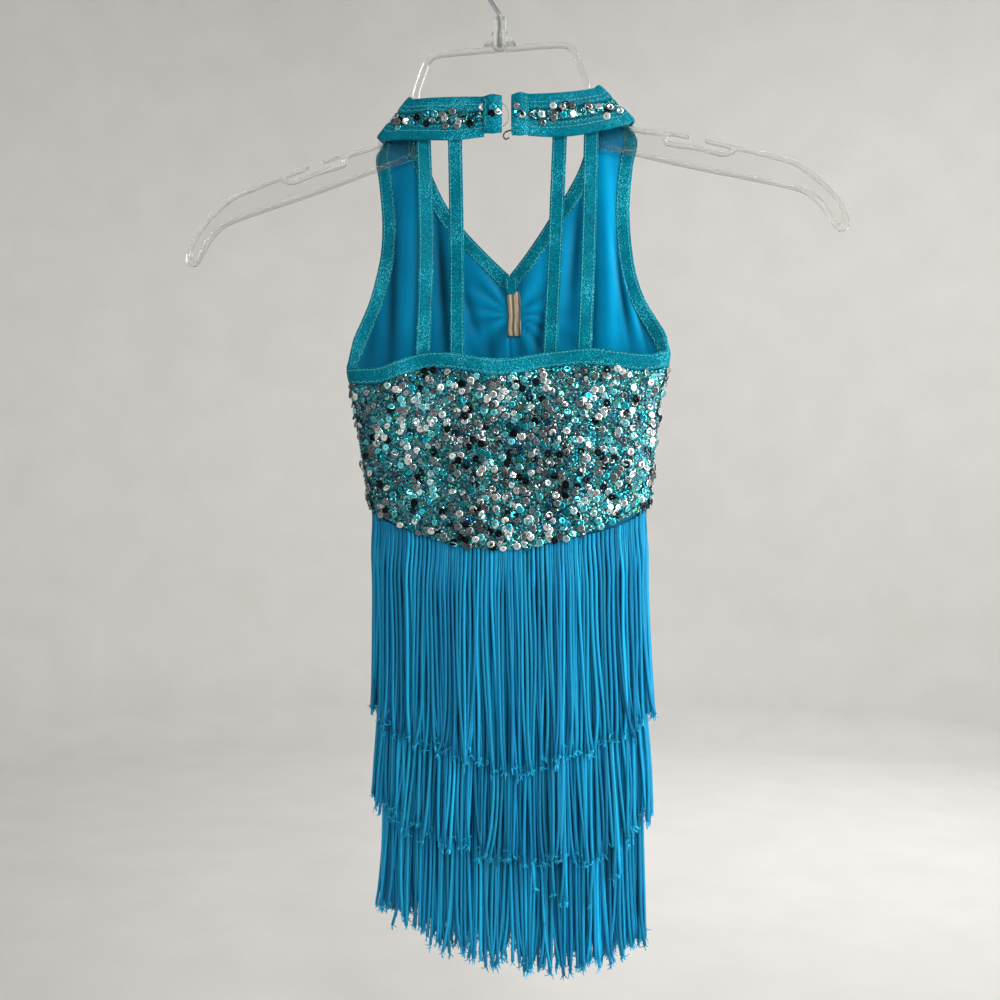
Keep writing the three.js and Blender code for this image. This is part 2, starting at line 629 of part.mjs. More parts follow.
const CLOSURE_Y = TAB_MIDDLE_Y + BINDING_HALF + 1.3;
piece('closure_hook', wire([
  new THREE.Vector3(12.5, CLOSURE_Y, -133.2),
  new THREE.Vector3(8.0, CLOSURE_Y, -133.4),
  new THREE.Vector3(4.6, CLOSURE_Y - 0.2, -134.6),
  new THREE.Vector3(3.4, CLOSURE_Y - 0.4, -137.0),
  new THREE.Vector3(4.8, CLOSURE_Y - 0.4, -139.0),
  new THREE.Vector3(7.2, CLOSURE_Y - 0.2, -138.2),
], 0.6, 14, 6), COLOURS.wire, 0.35, 0.9);
piece('closure_loop', wire([
  new THREE.Vector3(-4.0, CLOSURE_Y, -117.0),
  new THREE.Vector3(3.0, CLOSURE_Y + 0.2, -116.0),
  new THREE.Vector3(6.4, CLOSURE_Y + 0.6, -121.0),
  new THREE.Vector3(6.0, CLOSURE_Y + 0.6, -127.0),
  new THREE.Vector3(2.0, CLOSURE_Y + 0.2, -130.6),
  new THREE.Vector3(-4.0, CLOSURE_Y, -130.0),
], 0.6, 14, 6), COLOURS.clear, 0.2);

// ---- back straps ---------------------------------------------------------------------------
STRAPS.forEach((strap, index) => {
  const name = strap.topX < 0 ? 'left' : 'right';
  const rows = COLLAR[name].map((row) => ({ ...row, reach: Math.abs(mix(row.upperX, row.lowerX, 0.6)) }));
  const outerEdge = Math.abs(strap.topX) + BINDING_WIDTH / 2;
  const topY = read(rows, 'reach', outerEdge, 'y') + COLLAR_BINDING_HALF + GAP + STRAP_HALF;
  const lowTurn = turnAt(strap.lowX, STRAP_END + BACK_BAND_BINDING);
  const lowY = backPoint(lowTurn, backTop(lowTurn) - BACK_BAND_BINDING / 2).y;
  const endY = lowY + BINDING_HALF + GAP + STRAP_HALF + 1.1;
  const line = [
    { down: 0, x: strap.topX, y: topY },
    { down: 0.5, x: strap.middleX, y: mix(topY, endY, 0.55) },
    { down: 1, x: strap.lowX, y: endY },
  ];
  piece(`strap_${index + 1}`, wall(8, 1, (down, across) => new THREE.Vector3(
    read(line, 'down', down, 'x') + mix(-BINDING_WIDTH / 2, BINDING_WIDTH / 2, across),
    read(line, 'down', down, 'y'),
    mix(STRAP_TOP, STRAP_END, down),
  ), STRAP_HALF, -STRAP_HALF), COLOURS.binding, 0.4, 0.2);
});

// ---- skirt and fringe ----------------------------------------------------------------------
// A point of the skirt's outer face, moved out by `stand`. Turn goes once round from the left.
function skirtPoint(turn, z, stand) {
  const left = read(SKIRT, 'z', z, 'left');
  const right = read(SKIRT, 'z', z, 'right');
  const half = (right - left) / 2;
  const depth = read(SKIRT, 'z', z, 'depth');
  const cosine = Math.cos(turn);
  const sine = Math.sin(turn);
  const y = -Math.sign(sine) * Math.abs(sine) ** SIDE_ROUNDNESS;
  return new THREE.Vector3((left + right) / 2 - (half + stand) * cosine, (depth + stand) * y, z);
}

function headingZ(tier, turn) {
  return mix(tier.sideZ, tier.middleZ, Math.abs(Math.sin(turn)) ** 1.2);
}

piece('skirt_base', wall(4, 32, (down, around) => {
  const turn = around * Math.PI * 2;
  const top = mix(SKIRT_TOP, SKIRT_TOP - 20, Math.abs(Math.sin(turn)) ** 1.2);
  return skirtPoint(turn, mix(top, SKIRT_END, down), 0);
}, SKIRT_WALL / 2, -SKIRT_WALL / 2, true), COLOURS.skirt, 0.7);

// Turn at which the outline has gone a fraction of its way round, so strands stand evenly.
function evenTurns(count, stand) {
  const samples = 720;
  const lengths = [0];
  let before = skirtPoint(0, SKIRT_END, stand);
  for (let sample = 1; sample <= samples; sample += 1) {
    const next = skirtPoint(sample / samples * Math.PI * 2, SKIRT_END, stand);
    lengths.push(lengths.at(-1) + next.distanceTo(before));
    before = next;
  }
  const turns = [];
  for (let index = 0; index < count; index += 1) {
    const wanted = (index + 0.5) / count * lengths.at(-1);
    const sample = lengths.findIndex((length) => length >= wanted);
    turns.push(sample / samples * Math.PI * 2);
  }
  return turns;
}

// A heading tape all round the skirt, with a strand drawn down from every second part of its
// lower rim. Each strand is four-sided and keeps its width, so strands stand apart.
function fringe(tier, order) {
  const columns = STRANDS_PER_TIER * 2;
  const turns = evenTurns(columns, tier.stand);
  const faces = [HEADING_STAND + HEADING_WALL / 2, HEADING_STAND - HEADING_WALL / 2];
  const points = [];
  const triangles = [];
  const quad = (a, b, c, d) => triangles.push([a, b, c], [a, c, d]);
  for (const turn of turns) {
    for (const down of [0, HEADING_DEPTH]) {
      faces.forEach((stand) => points.push(skirtPoint(turn, headingZ(tier, turn) - down, stand)));
    }
  }
  // corners of column edge k: 0 top outer, 1 top inner, 2 low outer, 3 low inner
  const corner = (k, which) => (k % columns) * 4 + which;
  for (let k = 0; k < columns; k += 1) {
    quad(corner(k, 0), corner(k, 2), corner(k + 1, 2), corner(k + 1, 0));
    quad(corner(k, 3), corner(k, 1), corner(k + 1, 1), corner(k + 1, 3));
    quad(corner(k, 1), corner(k, 0), corner(k + 1, 0), corner(k + 1, 1));
    let ring = [corner(k, 2), corner(k, 3), corner(k + 1, 3), corner(k + 1, 2)];
    if (k % 2 === 0) {
      const index = order * STRANDS_PER_TIER + k / 2;
      const root = (turns[k] + (k + 1 < columns ? turns[k + 1] : Math.PI * 2)) / 2;
      const endZ = read(tier.ends, 'across', -Math.cos(root), 'z') + mix(-3, 3, steady(index));
      const rootZ = headingZ(tier, root) - HEADING_DEPTH;
      for (const [step, share] of STRAND_LEVELS.entries()) {
        const sway = mix(-STRAND_SWAY, STRAND_SWAY, steady(index + step * 500));
        const next = strandSection(root, mix(rootZ, endZ, share), tier.stand, sway, points);
        ring.forEach((from, side) => {
          const beside = (side + 1) % 4;
          quad(from, ring[beside], next[beside], next[side]);
        });
        ring = next;
      }
    }
    quad(ring[0], ring[1], ring[2], ring[3]);
  }
  return geometryFrom(points, triangles);
}

// Four corners of a strand's section, in the order outer, inner, inner, outer; the second pair
// is further round the skirt.
function strandSection(turn, z, stand, sway, points) {
  const here = skirtPoint(turn, z, stand);
  const along = skirtPoint(turn + 0.02, z, stand).sub(skirtPoint(turn - 0.02, z, stand)).normalize();
  const out = new THREE.Vector3(along.y, -along.x, 0);
  const first = points.length;
  for (const [side, depth] of [[-1, 1], [-1, -1], [1, -1], [1, 1]]) {
    points.push(here.clone()
      .addScaledVector(along, side * STRAND_WIDTH / 2 + sway)
      .addScaledVector(out, depth * STRAND_THICKNESS / 2));
  }
  return [first, first + 1, first + 2, first + 3];
}

TIERS.forEach((tier, order) => piece(tier.name, fringe(tier, order), tier.colour, 0.6));

// ---- hanger --------------------------------------------------------------------------------
function mirrored(rows) {
  return rows.map((row) => ({ x: -row.x, z: row.z })).reverse();
}

function rolled(geometry) {
  geometry.translate(0, 0, -HANGER_PIVOT.z);
  geometry.rotateY(-THREE.MathUtils.degToRad(HANGER_ROLL));
  geometry.translate(HANGER_PIVOT.x, 0, HANGER_PIVOT.z);
  return geometry;
}

function hangerBody() {
  const half = HANGER_TOP.concat(HANGER_UNDER);
  const outline = half.concat(mirrored(half).slice(1, -1));
  let body = solid(rolled(plate(outline, HANGER_THICKNESS, 0)));
  for (const rows of [HANGER_RECESS, mirrored(HANGER_RECESS)]) {
    for (const side of [-1, 1]) {
      const middleY = side * HANGER_THICKNESS / 2;
      body = body.subtract(solid(rolled(plate(rows, RECESS_DEPTH * 2, middleY))));
    }
  }
  const boss = new THREE.CylinderGeometry(BOSS.radius, BOSS.radius, BOSS.top - BOSS.foot, 20);
  boss.rotateX(Math.PI / 2);
  boss.translate(0, 0, (BOSS.top + BOSS.foot) / 2);
  body = body.add(solid(boss));
  body = body.add(solid(plate(GUSSET, HANGER_THICKNESS / 2, 0)));
  const depth = BOSS.top - HOOK.footZ + HOOK.clearance + 1;
  const bore = new THREE.CylinderGeometry(HOOK.wire + HOOK.clearance, HOOK.wire + HOOK.clearance, depth, 16);
  bore.rotateX(Math.PI / 2);
  bore.translate(0, 0, BOSS.top + 1 - depth / 2);
  return geometryOf(body.subtract(solid(bore)));
}

piece('hanger_body', hangerBody(), COLOURS.clear, 0.15);

// Wire hook: straight in its boss, a bend to the left, then round over the rail.
function hookPath() {
  const centreZ = -(HOOK.radius - HOOK.wire);
  const drop = centreZ - HOOK.bendZ;
  const away = Math.acos(HOOK.radius / drop);
  const start = Math.PI * 1.5 - away;
  const points = [new THREE.Vector3(0, 0, HOOK.footZ), new THREE.Vector3(0, 0, HOOK.bendZ - 4),
    new THREE.Vector3(0, 0, HOOK.bendZ)];
  const turns = 26;
  const end = THREE.MathUtils.degToRad(HOOK.endAngle);
  for (let step = 0; step <= turns; step += 1) {
    const angle = mix(start, end, step / turns);
    points.push(new THREE.Vector3(Math.cos(angle) * HOOK.radius, 0, centreZ + Math.sin(angle) * HOOK.radius));
  }
  return points;
}

piece('hanger_hook', wire(hookPath(), HOOK.wire, 44, 8), COLOURS.steel, 0.2, 1);

export default costume;
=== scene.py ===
# %% [markdown]
# # A fringe dance costume on its hanger
# This lesson dresses a child's dance costume: a halter with a sequin body, an open back with four
# glitter straps, and a skirt of three tiers of fringe. The solid model of the costume is the fixed
# frame. Every visible piece is worked out here as a surface on that frame, in the same place.

# %% Load the frame
import math

import bpy
import numpy as np
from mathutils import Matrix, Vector


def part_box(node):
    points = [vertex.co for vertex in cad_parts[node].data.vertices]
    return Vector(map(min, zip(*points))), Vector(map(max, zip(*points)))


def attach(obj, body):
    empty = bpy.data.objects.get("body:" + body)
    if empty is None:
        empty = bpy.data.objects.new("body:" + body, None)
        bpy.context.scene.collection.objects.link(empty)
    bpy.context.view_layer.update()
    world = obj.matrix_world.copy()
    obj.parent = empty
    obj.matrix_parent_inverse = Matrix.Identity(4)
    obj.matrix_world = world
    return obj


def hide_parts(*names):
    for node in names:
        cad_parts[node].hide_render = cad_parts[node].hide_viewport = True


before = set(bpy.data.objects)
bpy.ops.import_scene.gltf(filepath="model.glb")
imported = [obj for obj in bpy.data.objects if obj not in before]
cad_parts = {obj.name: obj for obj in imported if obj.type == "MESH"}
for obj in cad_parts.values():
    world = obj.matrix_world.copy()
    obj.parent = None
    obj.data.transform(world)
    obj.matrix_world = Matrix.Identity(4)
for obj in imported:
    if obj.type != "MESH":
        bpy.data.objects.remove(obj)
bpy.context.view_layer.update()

# %% [markdown]
# ## Tables and smooth curves
# A dressmaker keeps a pattern as a few measured rows. So does this script: all sizes are in
# millimetres, a table has named columns, and a smooth curve is drawn through its rows.

# %% Read a table by a smooth curve
MM = 0.001
DEPTHWISE = np.array([0.0, 1.0, 0.0])


def smooth_read(keys, values, at):
    """Hermite curve through (key, value) rows; each row's slope is that of its two neighbours."""
    keys, values, at = (np.asarray(a, float) for a in (keys, values, at))
    if keys[-1] < keys[0]:
        keys, at = -keys, -at
    row = np.clip(np.searchsorted(keys, at, side="right") - 1, 0, len(keys) - 2)
    before, after = np.maximum(row - 1, 0), np.minimum(row + 2, len(keys) - 1)
    span = keys[row + 1] - keys[row]
    t = np.clip((at - keys[row]) / span, 0, 1)
    slope_a = (values[row + 1] - values[before]) / (keys[row + 1] - keys[before])
    slope_b = (values[after] - values[row]) / (keys[after] - keys[row])
    return ((2 * t**3 - 3 * t**2 + 1) * values[row] + (t**3 - 2 * t**2 + t) * span * slope_a
            + (3 * t**2 - 2 * t**3) * values[row + 1] + (t**3 - t**2) * span * slope_b)


def mix(a, b, t):
    """a at t = 0, b at t = 1."""
    return a + (b - a) * t


def smoothstep(low, high, value):
    """0 below low, 1 above high, and an S between."""
    t = np.clip((value - low) / (high - low), 0, 1)
    return t * t * (3 - 2 * t)


def full_turn(sides):
    """Even angles once round, the last one short of the first."""
    return np.arange(sides) / sides * math.tau


def path_length(points, power=1.0):
    """How far along a line each of its points lies; with a power, each chord counts by that power."""
    chords = np.linalg.norm(np.diff(points, axis=0), axis=1) ** power
    return np.concatenate([[0], np.cumsum(chords)])


def unit(vectors):
    """Each vector divided by its length."""
    return vectors / np.maximum(np.linalg.norm(vectors, axis=-1, keepdims=True), 1e-9)


# %% [markdown]
# ## Meshes from whole arrays
# A shape is a grid of points, so its faces follow from the grid's rows and columns. One function
# puts points and faces into a mesh, and one closes a row of rings into a solid.

# %% Put arrays into a mesh
def link_object(name, data):
    """A new object for a mesh, lamp or camera, in the scene's collection."""
    item = bpy.data.objects.new(name, data)
    bpy.context.collection.objects.link(item)
    return item


def mesh_object(name, points, faces, material, tints=None, along=None):
    """points is (n, 3) in mm; faces is a list of integer arrays, one array for each face size."""
    mesh = bpy.data.meshes.new(name)
    corners = np.concatenate([f.ravel() for f in faces]).astype(np.int32)
    sizes = np.concatenate([np.full(len(f), f.shape[1]) for f in faces]).astype(np.int32)
    mesh.vertices.add(len(points))
    mesh.vertices.foreach_set("co", (np.asarray(points) * MM).astype(np.float32).ravel())
    mesh.loops.add(len(corners))
    mesh.loops.foreach_set("vertex_index", corners)
    mesh.polygons.add(len(sizes))
    mesh.polygons.foreach_set("loop_start", np.concatenate([[0], np.cumsum(sizes)[:-1]]).astype(np.int32))
    mesh.update(calc_edges=True)
    if tints is not None:
        colours = np.concatenate([tints, np.ones((len(tints), 1))], axis=1).astype(np.float32)
        mesh.color_attributes.new("tint_and_painted_light", "FLOAT_COLOR", "POINT").data.foreach_set("color", colours.ravel())
    if along is not None:
        values = along.astype(np.float32).ravel()
        mesh.attributes.new("along", "FLOAT", "POINT").data.foreach_set("value", values)
    mesh.shade_smooth()
    mesh.materials.append(material)
    return link_object(name, mesh)


def grid_faces(rows, columns, around=False):
    """Quads between neighbouring rows and columns; around joins the last column to the first."""
    last = columns if around else columns - 1
    row, column = np.meshgrid(np.arange(rows - 1) * columns, np.arange(last), indexing="ij")
    after = (column + 1) % columns
    quads = [row + column, row + after, row + columns + after, row + columns + column]
    return np.stack(quads, -1).reshape(-1, 4)


def ring_faces(rows, sides):
    """Quads of a grid that closes on itself both ways, as on a ring."""
    faces = grid_faces(rows + 1, sides, around=True)
    return np.where(faces >= rows * sides, faces - rows * sides, faces)


def spun(radius, z, sides):
    """Rings (rows, sides, 3) of a profile carried round the upright axis."""
    angle = full_turn(sides)
    radius, z = (np.asarray(values, float)[:, None] for values in (radius, z))
    return np.stack(np.broadcast_arrays(radius * np.cos(angle), radius * np.sin(angle), z), -1)


def loft(rings):
    """Closed solid through rings (count, rings, sides, 3): quads along each, a fan at each end."""
    count, steps, sides, _ = rings.shape
    size = steps * sides
    walls = grid_faces(steps, sides, around=True)
    low = np.stack([np.zeros(sides - 2, int), np.arange(2, sides), np.arange(1, sides - 1)], -1)
    high = low[:, ::-1] + size - sides
    return rings.reshape(-1, 3), [repeated(faces, count, size) for faces in (walls, low, high)]


def tubes(centres, radius, sides, side_hint):
    """Round tubes: each centre line (count, steps, 3) carries a circle square to its own direction."""
    direction = unit(np.gradient(centres, axis=1))
    across = unit(np.cross(direction, np.broadcast_to(side_hint, direction.shape)))
    upward = np.cross(across, direction)
    angle = full_turn(sides)
    radius = np.broadcast_to(radius, centres.shape[:2])[..., None, None]
    circle = across[:, :, None] * np.cos(angle)[:, None] + upward[:, :, None] * np.sin(angle)[:, None]
    return loft(centres[:, :, None] + circle * radius)


def join_shapes(shapes):
    """Several (points, faces) shapes as one, with face numbers moved on."""
    points, faces, start = [], [], 0
    for more_points, more_faces in shapes:
        points.append(more_points)
        faces += [f + start for f in more_faces]
        start += len(more_points)
    return np.concatenate(points), faces


def repeated(faces, count, points_each):
    """One item's faces for each of count items, which follow each other in the mesh."""
    starts = np.arange(count) * points_each
    return (faces[None] + starts[:, None, None]).reshape(-1, faces.shape[1])


def outward(points, faces):
    """Turns all the faces of a closed shape over if its volume comes out negative."""
    volume = sum(np.einsum("ij,ij->", points[f[:, 0]], np.cross(points[f[:, i]], points[f[:, i + 1]]))
                 for f in faces for i in range(1, f.shape[1] - 1))
    return points, (faces if volume > 0 else [f[:, ::-1] for f in faces])


def place(piece, slot, *nodes):
    """Every piece rides on the one body and may stand for solids of the frame; slot is not used."""
    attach(piece, "root")
    if nodes:
        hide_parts(*nodes)
    print(piece.name, len(piece.data.polygons), "faces")
    return piece


def add_wall(piece, thickness):
    """Solidify gives a thin sheet its wall, half to each side."""
    wall = piece.modifiers.new("wall", "SOLIDIFY")
    wall.thickness = thickness * MM
    wall.offset = 0


def shell(name, grid, material, slot, nodes, thickness=0.5, around=False):
    """A thin sheet of cloth from a grid of points (rows, columns, 3)."""
    piece = mesh_object(name, grid.reshape(-1, 3), [grid_faces(*grid.shape[:2], around)], material)
    add_wall(piece, thickness)
    return place(piece, slot, *nodes)


# %% [markdown]
# ## Materials
# Colours are chosen as on a screen and turned to linear light by one function. One more function
# adds a node with its settings and links, and each finish below is a short list of such nodes.

# %% Colour and node helpers
def linear(hex_colour):
    """sRGB hex to linear red, green, blue, by the sRGB curve."""
    parts = np.array([int(hex_colour[i:i + 2], 16) for i in (0, 2, 4)]) / 255
    return tuple(np.where(parts <= 0.04045, parts / 12.92, ((parts + 0.055) / 1.055) ** 2.4))


def add(tree, kind, values=None, links=None, **settings):
    """Adds a node: settings are its own options, values its sockets' numbers, links its inputs."""
    node = tree.nodes.new(kind)
    for key, value in settings.items():
        setattr(node, key, value)
    for key, value in (values or {}).items():
        node.inputs[key].default_value = value
    for key, source in (links or {}).items():
        tree.links.new(source, node.inputs[key])
    return node


def finish_of(name, colour, **values):
    """A material with its Principled shader set; returns the material, its tree and the shader."""
    material = bpy.data.materials.new(name)
    material.use_nodes = True
    tree = material.node_tree
    shader = tree.nodes["Principled BSDF"]
    shader.inputs["Base Color"].default_value = (*linear(colour), 1)
    for key, value in values.items():
        colour_like = isinstance(value, tuple)
        shader.inputs[key.replace("_", " ")].default_value = (*value, 1) if colour_like else value
    return material, tree, shader


def ramp(tree, source, stops, interpolation="LINEAR"):
    """A colour ramp; stops are (position, hex colour)."""
    node = add(tree, "ShaderNodeValToRGB", links={"Fac": source})
    elements = node.color_ramp.elements
    node.color_ramp.interpolation = interpolation
    while len(elements) < len(stops):
        elements.new(0.5)
    for element, (position, colour) in zip(elements, stops):
        element.position = position
        element.color = (*linear(colour), 1)
    return node.outputs["Color"]


def feed(tree, shader, **sources):
    """Links sources to the shader's inputs of the same names."""
    for key, source in sources.items():
        tree.links.new(source, shader.inputs[key.replace("_", " ")])


def bump(tree, shader, height, distance, strength=1.0):
    """Links a height to the shader's normal; distance is the relief in mm."""
    node = add(tree, "ShaderNodeBump", {"Strength": strength, "Distance": distance * MM}, {"Height": height})
    feed(tree, shader, Normal=node.outputs["Normal"])


def multiply(tree, colour, factor):
    """Colour times factor; a Mix node's colour sockets are its inputs 6 and 7 and its output 2."""
    node = add(tree, "ShaderNodeMix", {0: 1.0}, {6: colour, 7: factor},
               data_type="RGBA", blend_type="MULTIPLY")
    return node.outputs[2]


def remap(tree, value, low, high, start=0.0, end=1.0):
    """Straight line from (start, low) to (end, high), held level outside them."""
    limits = {"From Min": start, "From Max": end, "To Min": low, "To Max": high}
    return add(tree, "ShaderNodeMapRange", limits, {"Value": value}).outputs[0]


def maths(tree, operation, *sources, number=0.5):
    """One operation on one or two sources; the number stands in for a second source."""
    return add(tree, "ShaderNodeMath", {1: number}, dict(enumerate(sources)), operation=operation).outputs[0]


def texture(tree, kind, size, **values):
    """A texture in object coordinates that repeats every size millimetres."""
    where = add(tree, "ShaderNodeTexCoord").outputs["Object"]
    return add(tree, "ShaderNodeTex" + kind, {"Scale": 1 / (size * MM), **values}, {"Vector": where}).outputs


def attribute(tree, name):
    """A value that rides on the mesh's own points."""
    return add(tree, "ShaderNodeAttribute", attribute_name=name).outputs


def cell_colours(tree, size):
    """Three random numbers for each grain of a cell pattern."""
    return add(tree, "ShaderNodeSeparateColor",
               links={"Color": texture(tree, "Voronoi", size)["Color"]}).outputs


# %% [markdown]
# ** Glitter spandex.** The bindings and straps are folded elastic with fine foil glitter printed on
# teal knit. Most grains lie quiet; a few catch the light, and the light cyan at the top of the foil's
# colour ramp is a painted glint. A cell pattern of 0.38 mm grains gives each one its own gloss and
# slope, and a slow cloud makes the foil denser in some places.

# %% Glitter binding
binding_mat, tree, shader = finish_of("glitter_spandex_binding", "08707d", Roughness=0.45,
                                      Specular_IOR_Level=0.05)
grain = cell_colours(tree, 0.38)
cloud = texture(tree, "Noise", 22, Detail=3.0)["Fac"]
level = maths(tree, "ADD", grain["Red"], remap(tree, cloud, -0.12, 0.1, 0.35, 0.65))
# foil colour: the dark to light teal is the foil's own, and the brightest cyan stop is a painted glint
foil = ramp(tree, level, [(0.0, "00505f"), (0.4, "00697d"), (0.78, "008098"), (0.93, "08a6bf"),
                          (1.0, "4fd8ea")])
feed(tree, shader, Base_Color=foil, Roughness=remap(tree, grain["Green"], 0.6, 0.2))
bump(tree, shader, grain["Blue"], 0.07, 0.4)

# %% [markdown]
# ** Smooth lining.** The inside of the front is plain stretch satin in clear azure, with a soft sheen
# and hair-fine vertical ribs of the knit. The colour attribute on its points is painted shade: darker in
# the folds' troughs and towards the left, away from the window lamp.

# %% Satin lining
lining_mat, tree, shader = finish_of("stretch_satin_lining", "0580b0", Roughness=0.42, Sheen_Weight=0.02,
                                     Sheen_Roughness=0.4, Sheen_Tint=linear("3fb8e0"),
                                     Specular_IOR_Level=0.06)
azure = ramp(tree, texture(tree, "Noise", 45, Detail=2.0)["Fac"], [(0.3, "007ca8"), (0.7, "008ebf")])
# azure times the painted shade held in the mesh's colour attribute
feed(tree, shader, Base_Color=multiply(tree, azure, attribute(tree, "tint_and_painted_light")["Color"]))
ribs = texture(tree, "Wave", 0.8 * math.tau, Distortion=0.6)
bump(tree, shader, ribs["Fac"], 0.03, 0.4)

# %% [markdown]
# ** Sequin ground.** Under the sequins lies stretch mesh crowded with hologram glitter about 1 mm
# across. One cell pattern gives it teal, aqua, ink blue and a few green sparks.

# %% Glitter mesh under the sequins
ground_mat, tree, shader = finish_of("hologram_glitter_mesh", "3f8790", Roughness=0.3, Metallic=0.55)
cell = cell_colours(tree, 1.25)
foil = ramp(tree, cell["Red"], [
    (0.0, "083a47"), (0.2, "125062"), (0.38, "3b6d7c"), (0.55, "4c7886"), (0.7, "20808d"),
    (0.82, "6b7d82"), (0.92, "5fd6d2"), (0.97, "2f9a5c")], "CONSTANT")
feed(tree, shader, Base_Color=foil, Roughness=remap(tree, cell["Green"], 0.16, 0.5))
bump(tree, shader, cell["Blue"], 0.5, 0.9)

# %% [markdown]
# ** Sequins and glitter bits.** Each sequin is a stamped film disc with a mirror coat. Its colour,
# with painted highlights and painted shade, rides on the mesh as an attribute, and a trace of
# unevenness keeps the coat from looking liquid.

# %% Sequin film and glitter bits
def film(name, roughness, uneven):
    """Mirror film in each item's colour from the mesh, which holds painted highlights and painted shade;
    uneven is its relief in mm.
    """
    material, tree, shader = finish_of(name, "c9ccca", Roughness=roughness, Metallic=0.92)
    feed(tree, shader, Base_Color=attribute(tree, "tint_and_painted_light")["Color"])
    bump(tree, shader, texture(tree, "Noise", 2.2, Detail=1.0)["Fac"], uneven, 0.5)
    return material


sequin_mat = film("mirror_film_sequin", 0.13, 0.12)
bits_mat = film("hologram_film_bits", 0.2, 0.05)

# %% [markdown]
# ** Rayon fringe.** A fringe strand is a knitted chainette of shiny rayon, about 2.2 mm thick. Its
# chain of loops gives a fine slanted relief every millimetre, with painted shade in the grooves and a
# faint painted highlight on the crests, and each strand takes the light its own way. The attribute
# `along` counts the loops down the strand and once round it.

# %% Rayon chainette
fringe_mat, tree, shader = finish_of("rayon_chainette_fringe", "0a86b4", Roughness=0.45, Sheen_Weight=0.1,
                                     Sheen_Roughness=0.35, Sheen_Tint=linear("4cc4ea"),
                                     Specular_IOR_Level=0.2)
turns = maths(tree, "MULTIPLY", attribute(tree, "along")["Fac"], number=math.tau)
relief = maths(tree, "ADD", maths(tree, "SINE", turns), texture(tree, "Noise", 0.9, Detail=2.0)["Fac"])
# painted shade and highlight: the colour follows the loops' relief, darker in the grooves and lighter on the
# crests
shade = remap(tree, relief, 0.86, 1.1, -1.0, 2.0)
feed(tree, shader, Base_Color=multiply(tree, attribute(tree, "tint_and_painted_light")["Color"], shade))
bump(tree, shader, relief, 0.13, 0.6)

# %% [markdown]
# **The plain finishes.** The skirt under the fringe is matte knit, the gather elastic is woven in
# tan ribs, thread is spun polyester, the hanger is clear polystyrene and the hook is bright wire.

# %% Knit, elastic, thread, plastic and wire
knit_mat, tree, shader = finish_of("matte_stretch_knit", "0c7fa6", Roughness=0.8, Sheen_Weight=0.3)
bump(tree, shader, texture(tree, "Voronoi", 0.9)["Distance"], 0.1, 0.6)

elastic_mat, tree, shader = finish_of("woven_rubber_elastic", "a3917a", Roughness=0.75)
warp = texture(tree, "Wave", 1.9 * math.tau, Distortion=2.0, Detail=3.0)["Fac"]
feed(tree, shader, Base_Color=ramp(tree, warp, [(0.1, "6f6350"), (0.9, "c6b79c")]))
bump(tree, shader, warp, 0.1, 0.6)

thread_mat, tree, shader = finish_of("polyester_sewing_thread", "3fb9c4", Roughness=0.5, Sheen_Weight=0.4)
ply = texture(tree, "Noise", 1.1, Detail=1.0)["Fac"]
feed(tree, shader, Base_Color=ramp(tree, ply, [(0.35, "249ca6"), (0.7, "58c6cc")]))

plastic_mat, tree, shader = finish_of("clear_moulded_polystyrene", "f2f4f0", Roughness=0.06, IOR=1.5,
                                      Transmission_Weight=1.0)
scuffs = texture(tree, "Noise", 7, Detail=5.0)["Fac"]
rim = add(tree, "ShaderNodeLayerWeight", {"Blend": 0.4}).outputs["Facing"]
feed(tree, shader, Roughness=remap(tree, scuffs, 0.05, 0.2, 0.45, 0.75), Alpha=remap(tree, rim, 0.36, 1.0))

steel_mat, tree, shader = finish_of("bright_plated_steel_wire", "b9bcc0", Roughness=0.16, Metallic=1.0)
drawn = texture(tree, "Noise", 1.6, Detail=3.0)["Fac"]
feed(tree, shader, Roughness=remap(tree, drawn, 0.1, 0.28))

dark_wire_mat, tree, shader = finish_of("blackened_hook_wire", "3a3d42", Roughness=0.3, Metallic=0.9)
rubbed = texture(tree, "Noise", 1.2)["Fac"]
feed(tree, shader, Base_Color=ramp(tree, rubbed, [(0.4, "25272b"), (0.7, "6d7176")]))

clear_cord_mat, tree, shader = finish_of("clear_stretch_cord", "ecebe4", Roughness=0.2,
                                         Transmission_Weight=0.7)
bump(tree, shader, texture(tree, "Noise", 2)["Fac"], 0.05, 0.3)
print(len(bpy.data.materials), "materials")

# %% [markdown]
# ## The body's form
# On its hanger the costume is nearly flat: each level is a squashed oval. One function gives a
# point of that oval from a turn (left side -90 degrees, right side +90) and a height.

# %% Body sections
BODY = dict(
    z=[-100, -200, -262, -284, -305, -345, -380, -410],
    left=[-103.4, -103.4, -103.2, -102.2, -97.5, -91.5, -86.2, -84.0],
    right=[110.2, 110.2, 109.8, 108.2, 103.2, 98.6, 95.6, 94.6],
    depth=[9, 11, 13, 14, 15, 17, 18, 18],
)
CENTRE = 4.6
FOLD_RADIUS = 4.1
SIDE_ROUNDNESS = 0.8


def half_width(z):
    """Half the distance between the body's right and left edge at height z."""
    return (smooth_read(BODY["z"], BODY["right"], z) - smooth_read(BODY["z"], BODY["left"], z)) / 2


def middle(z):
    """The middle between the body's right and left edge at height z."""
    return (smooth_read(BODY["z"], BODY["right"], z) + smooth_read(BODY["z"], BODY["left"], z)) / 2


def turn_at(x, z):
    """The turn whose point lies at x: the arc sine of x's share of the half width."""
    return np.arcsin(np.clip((x - middle(z)) / half_width(z), -1, 1))


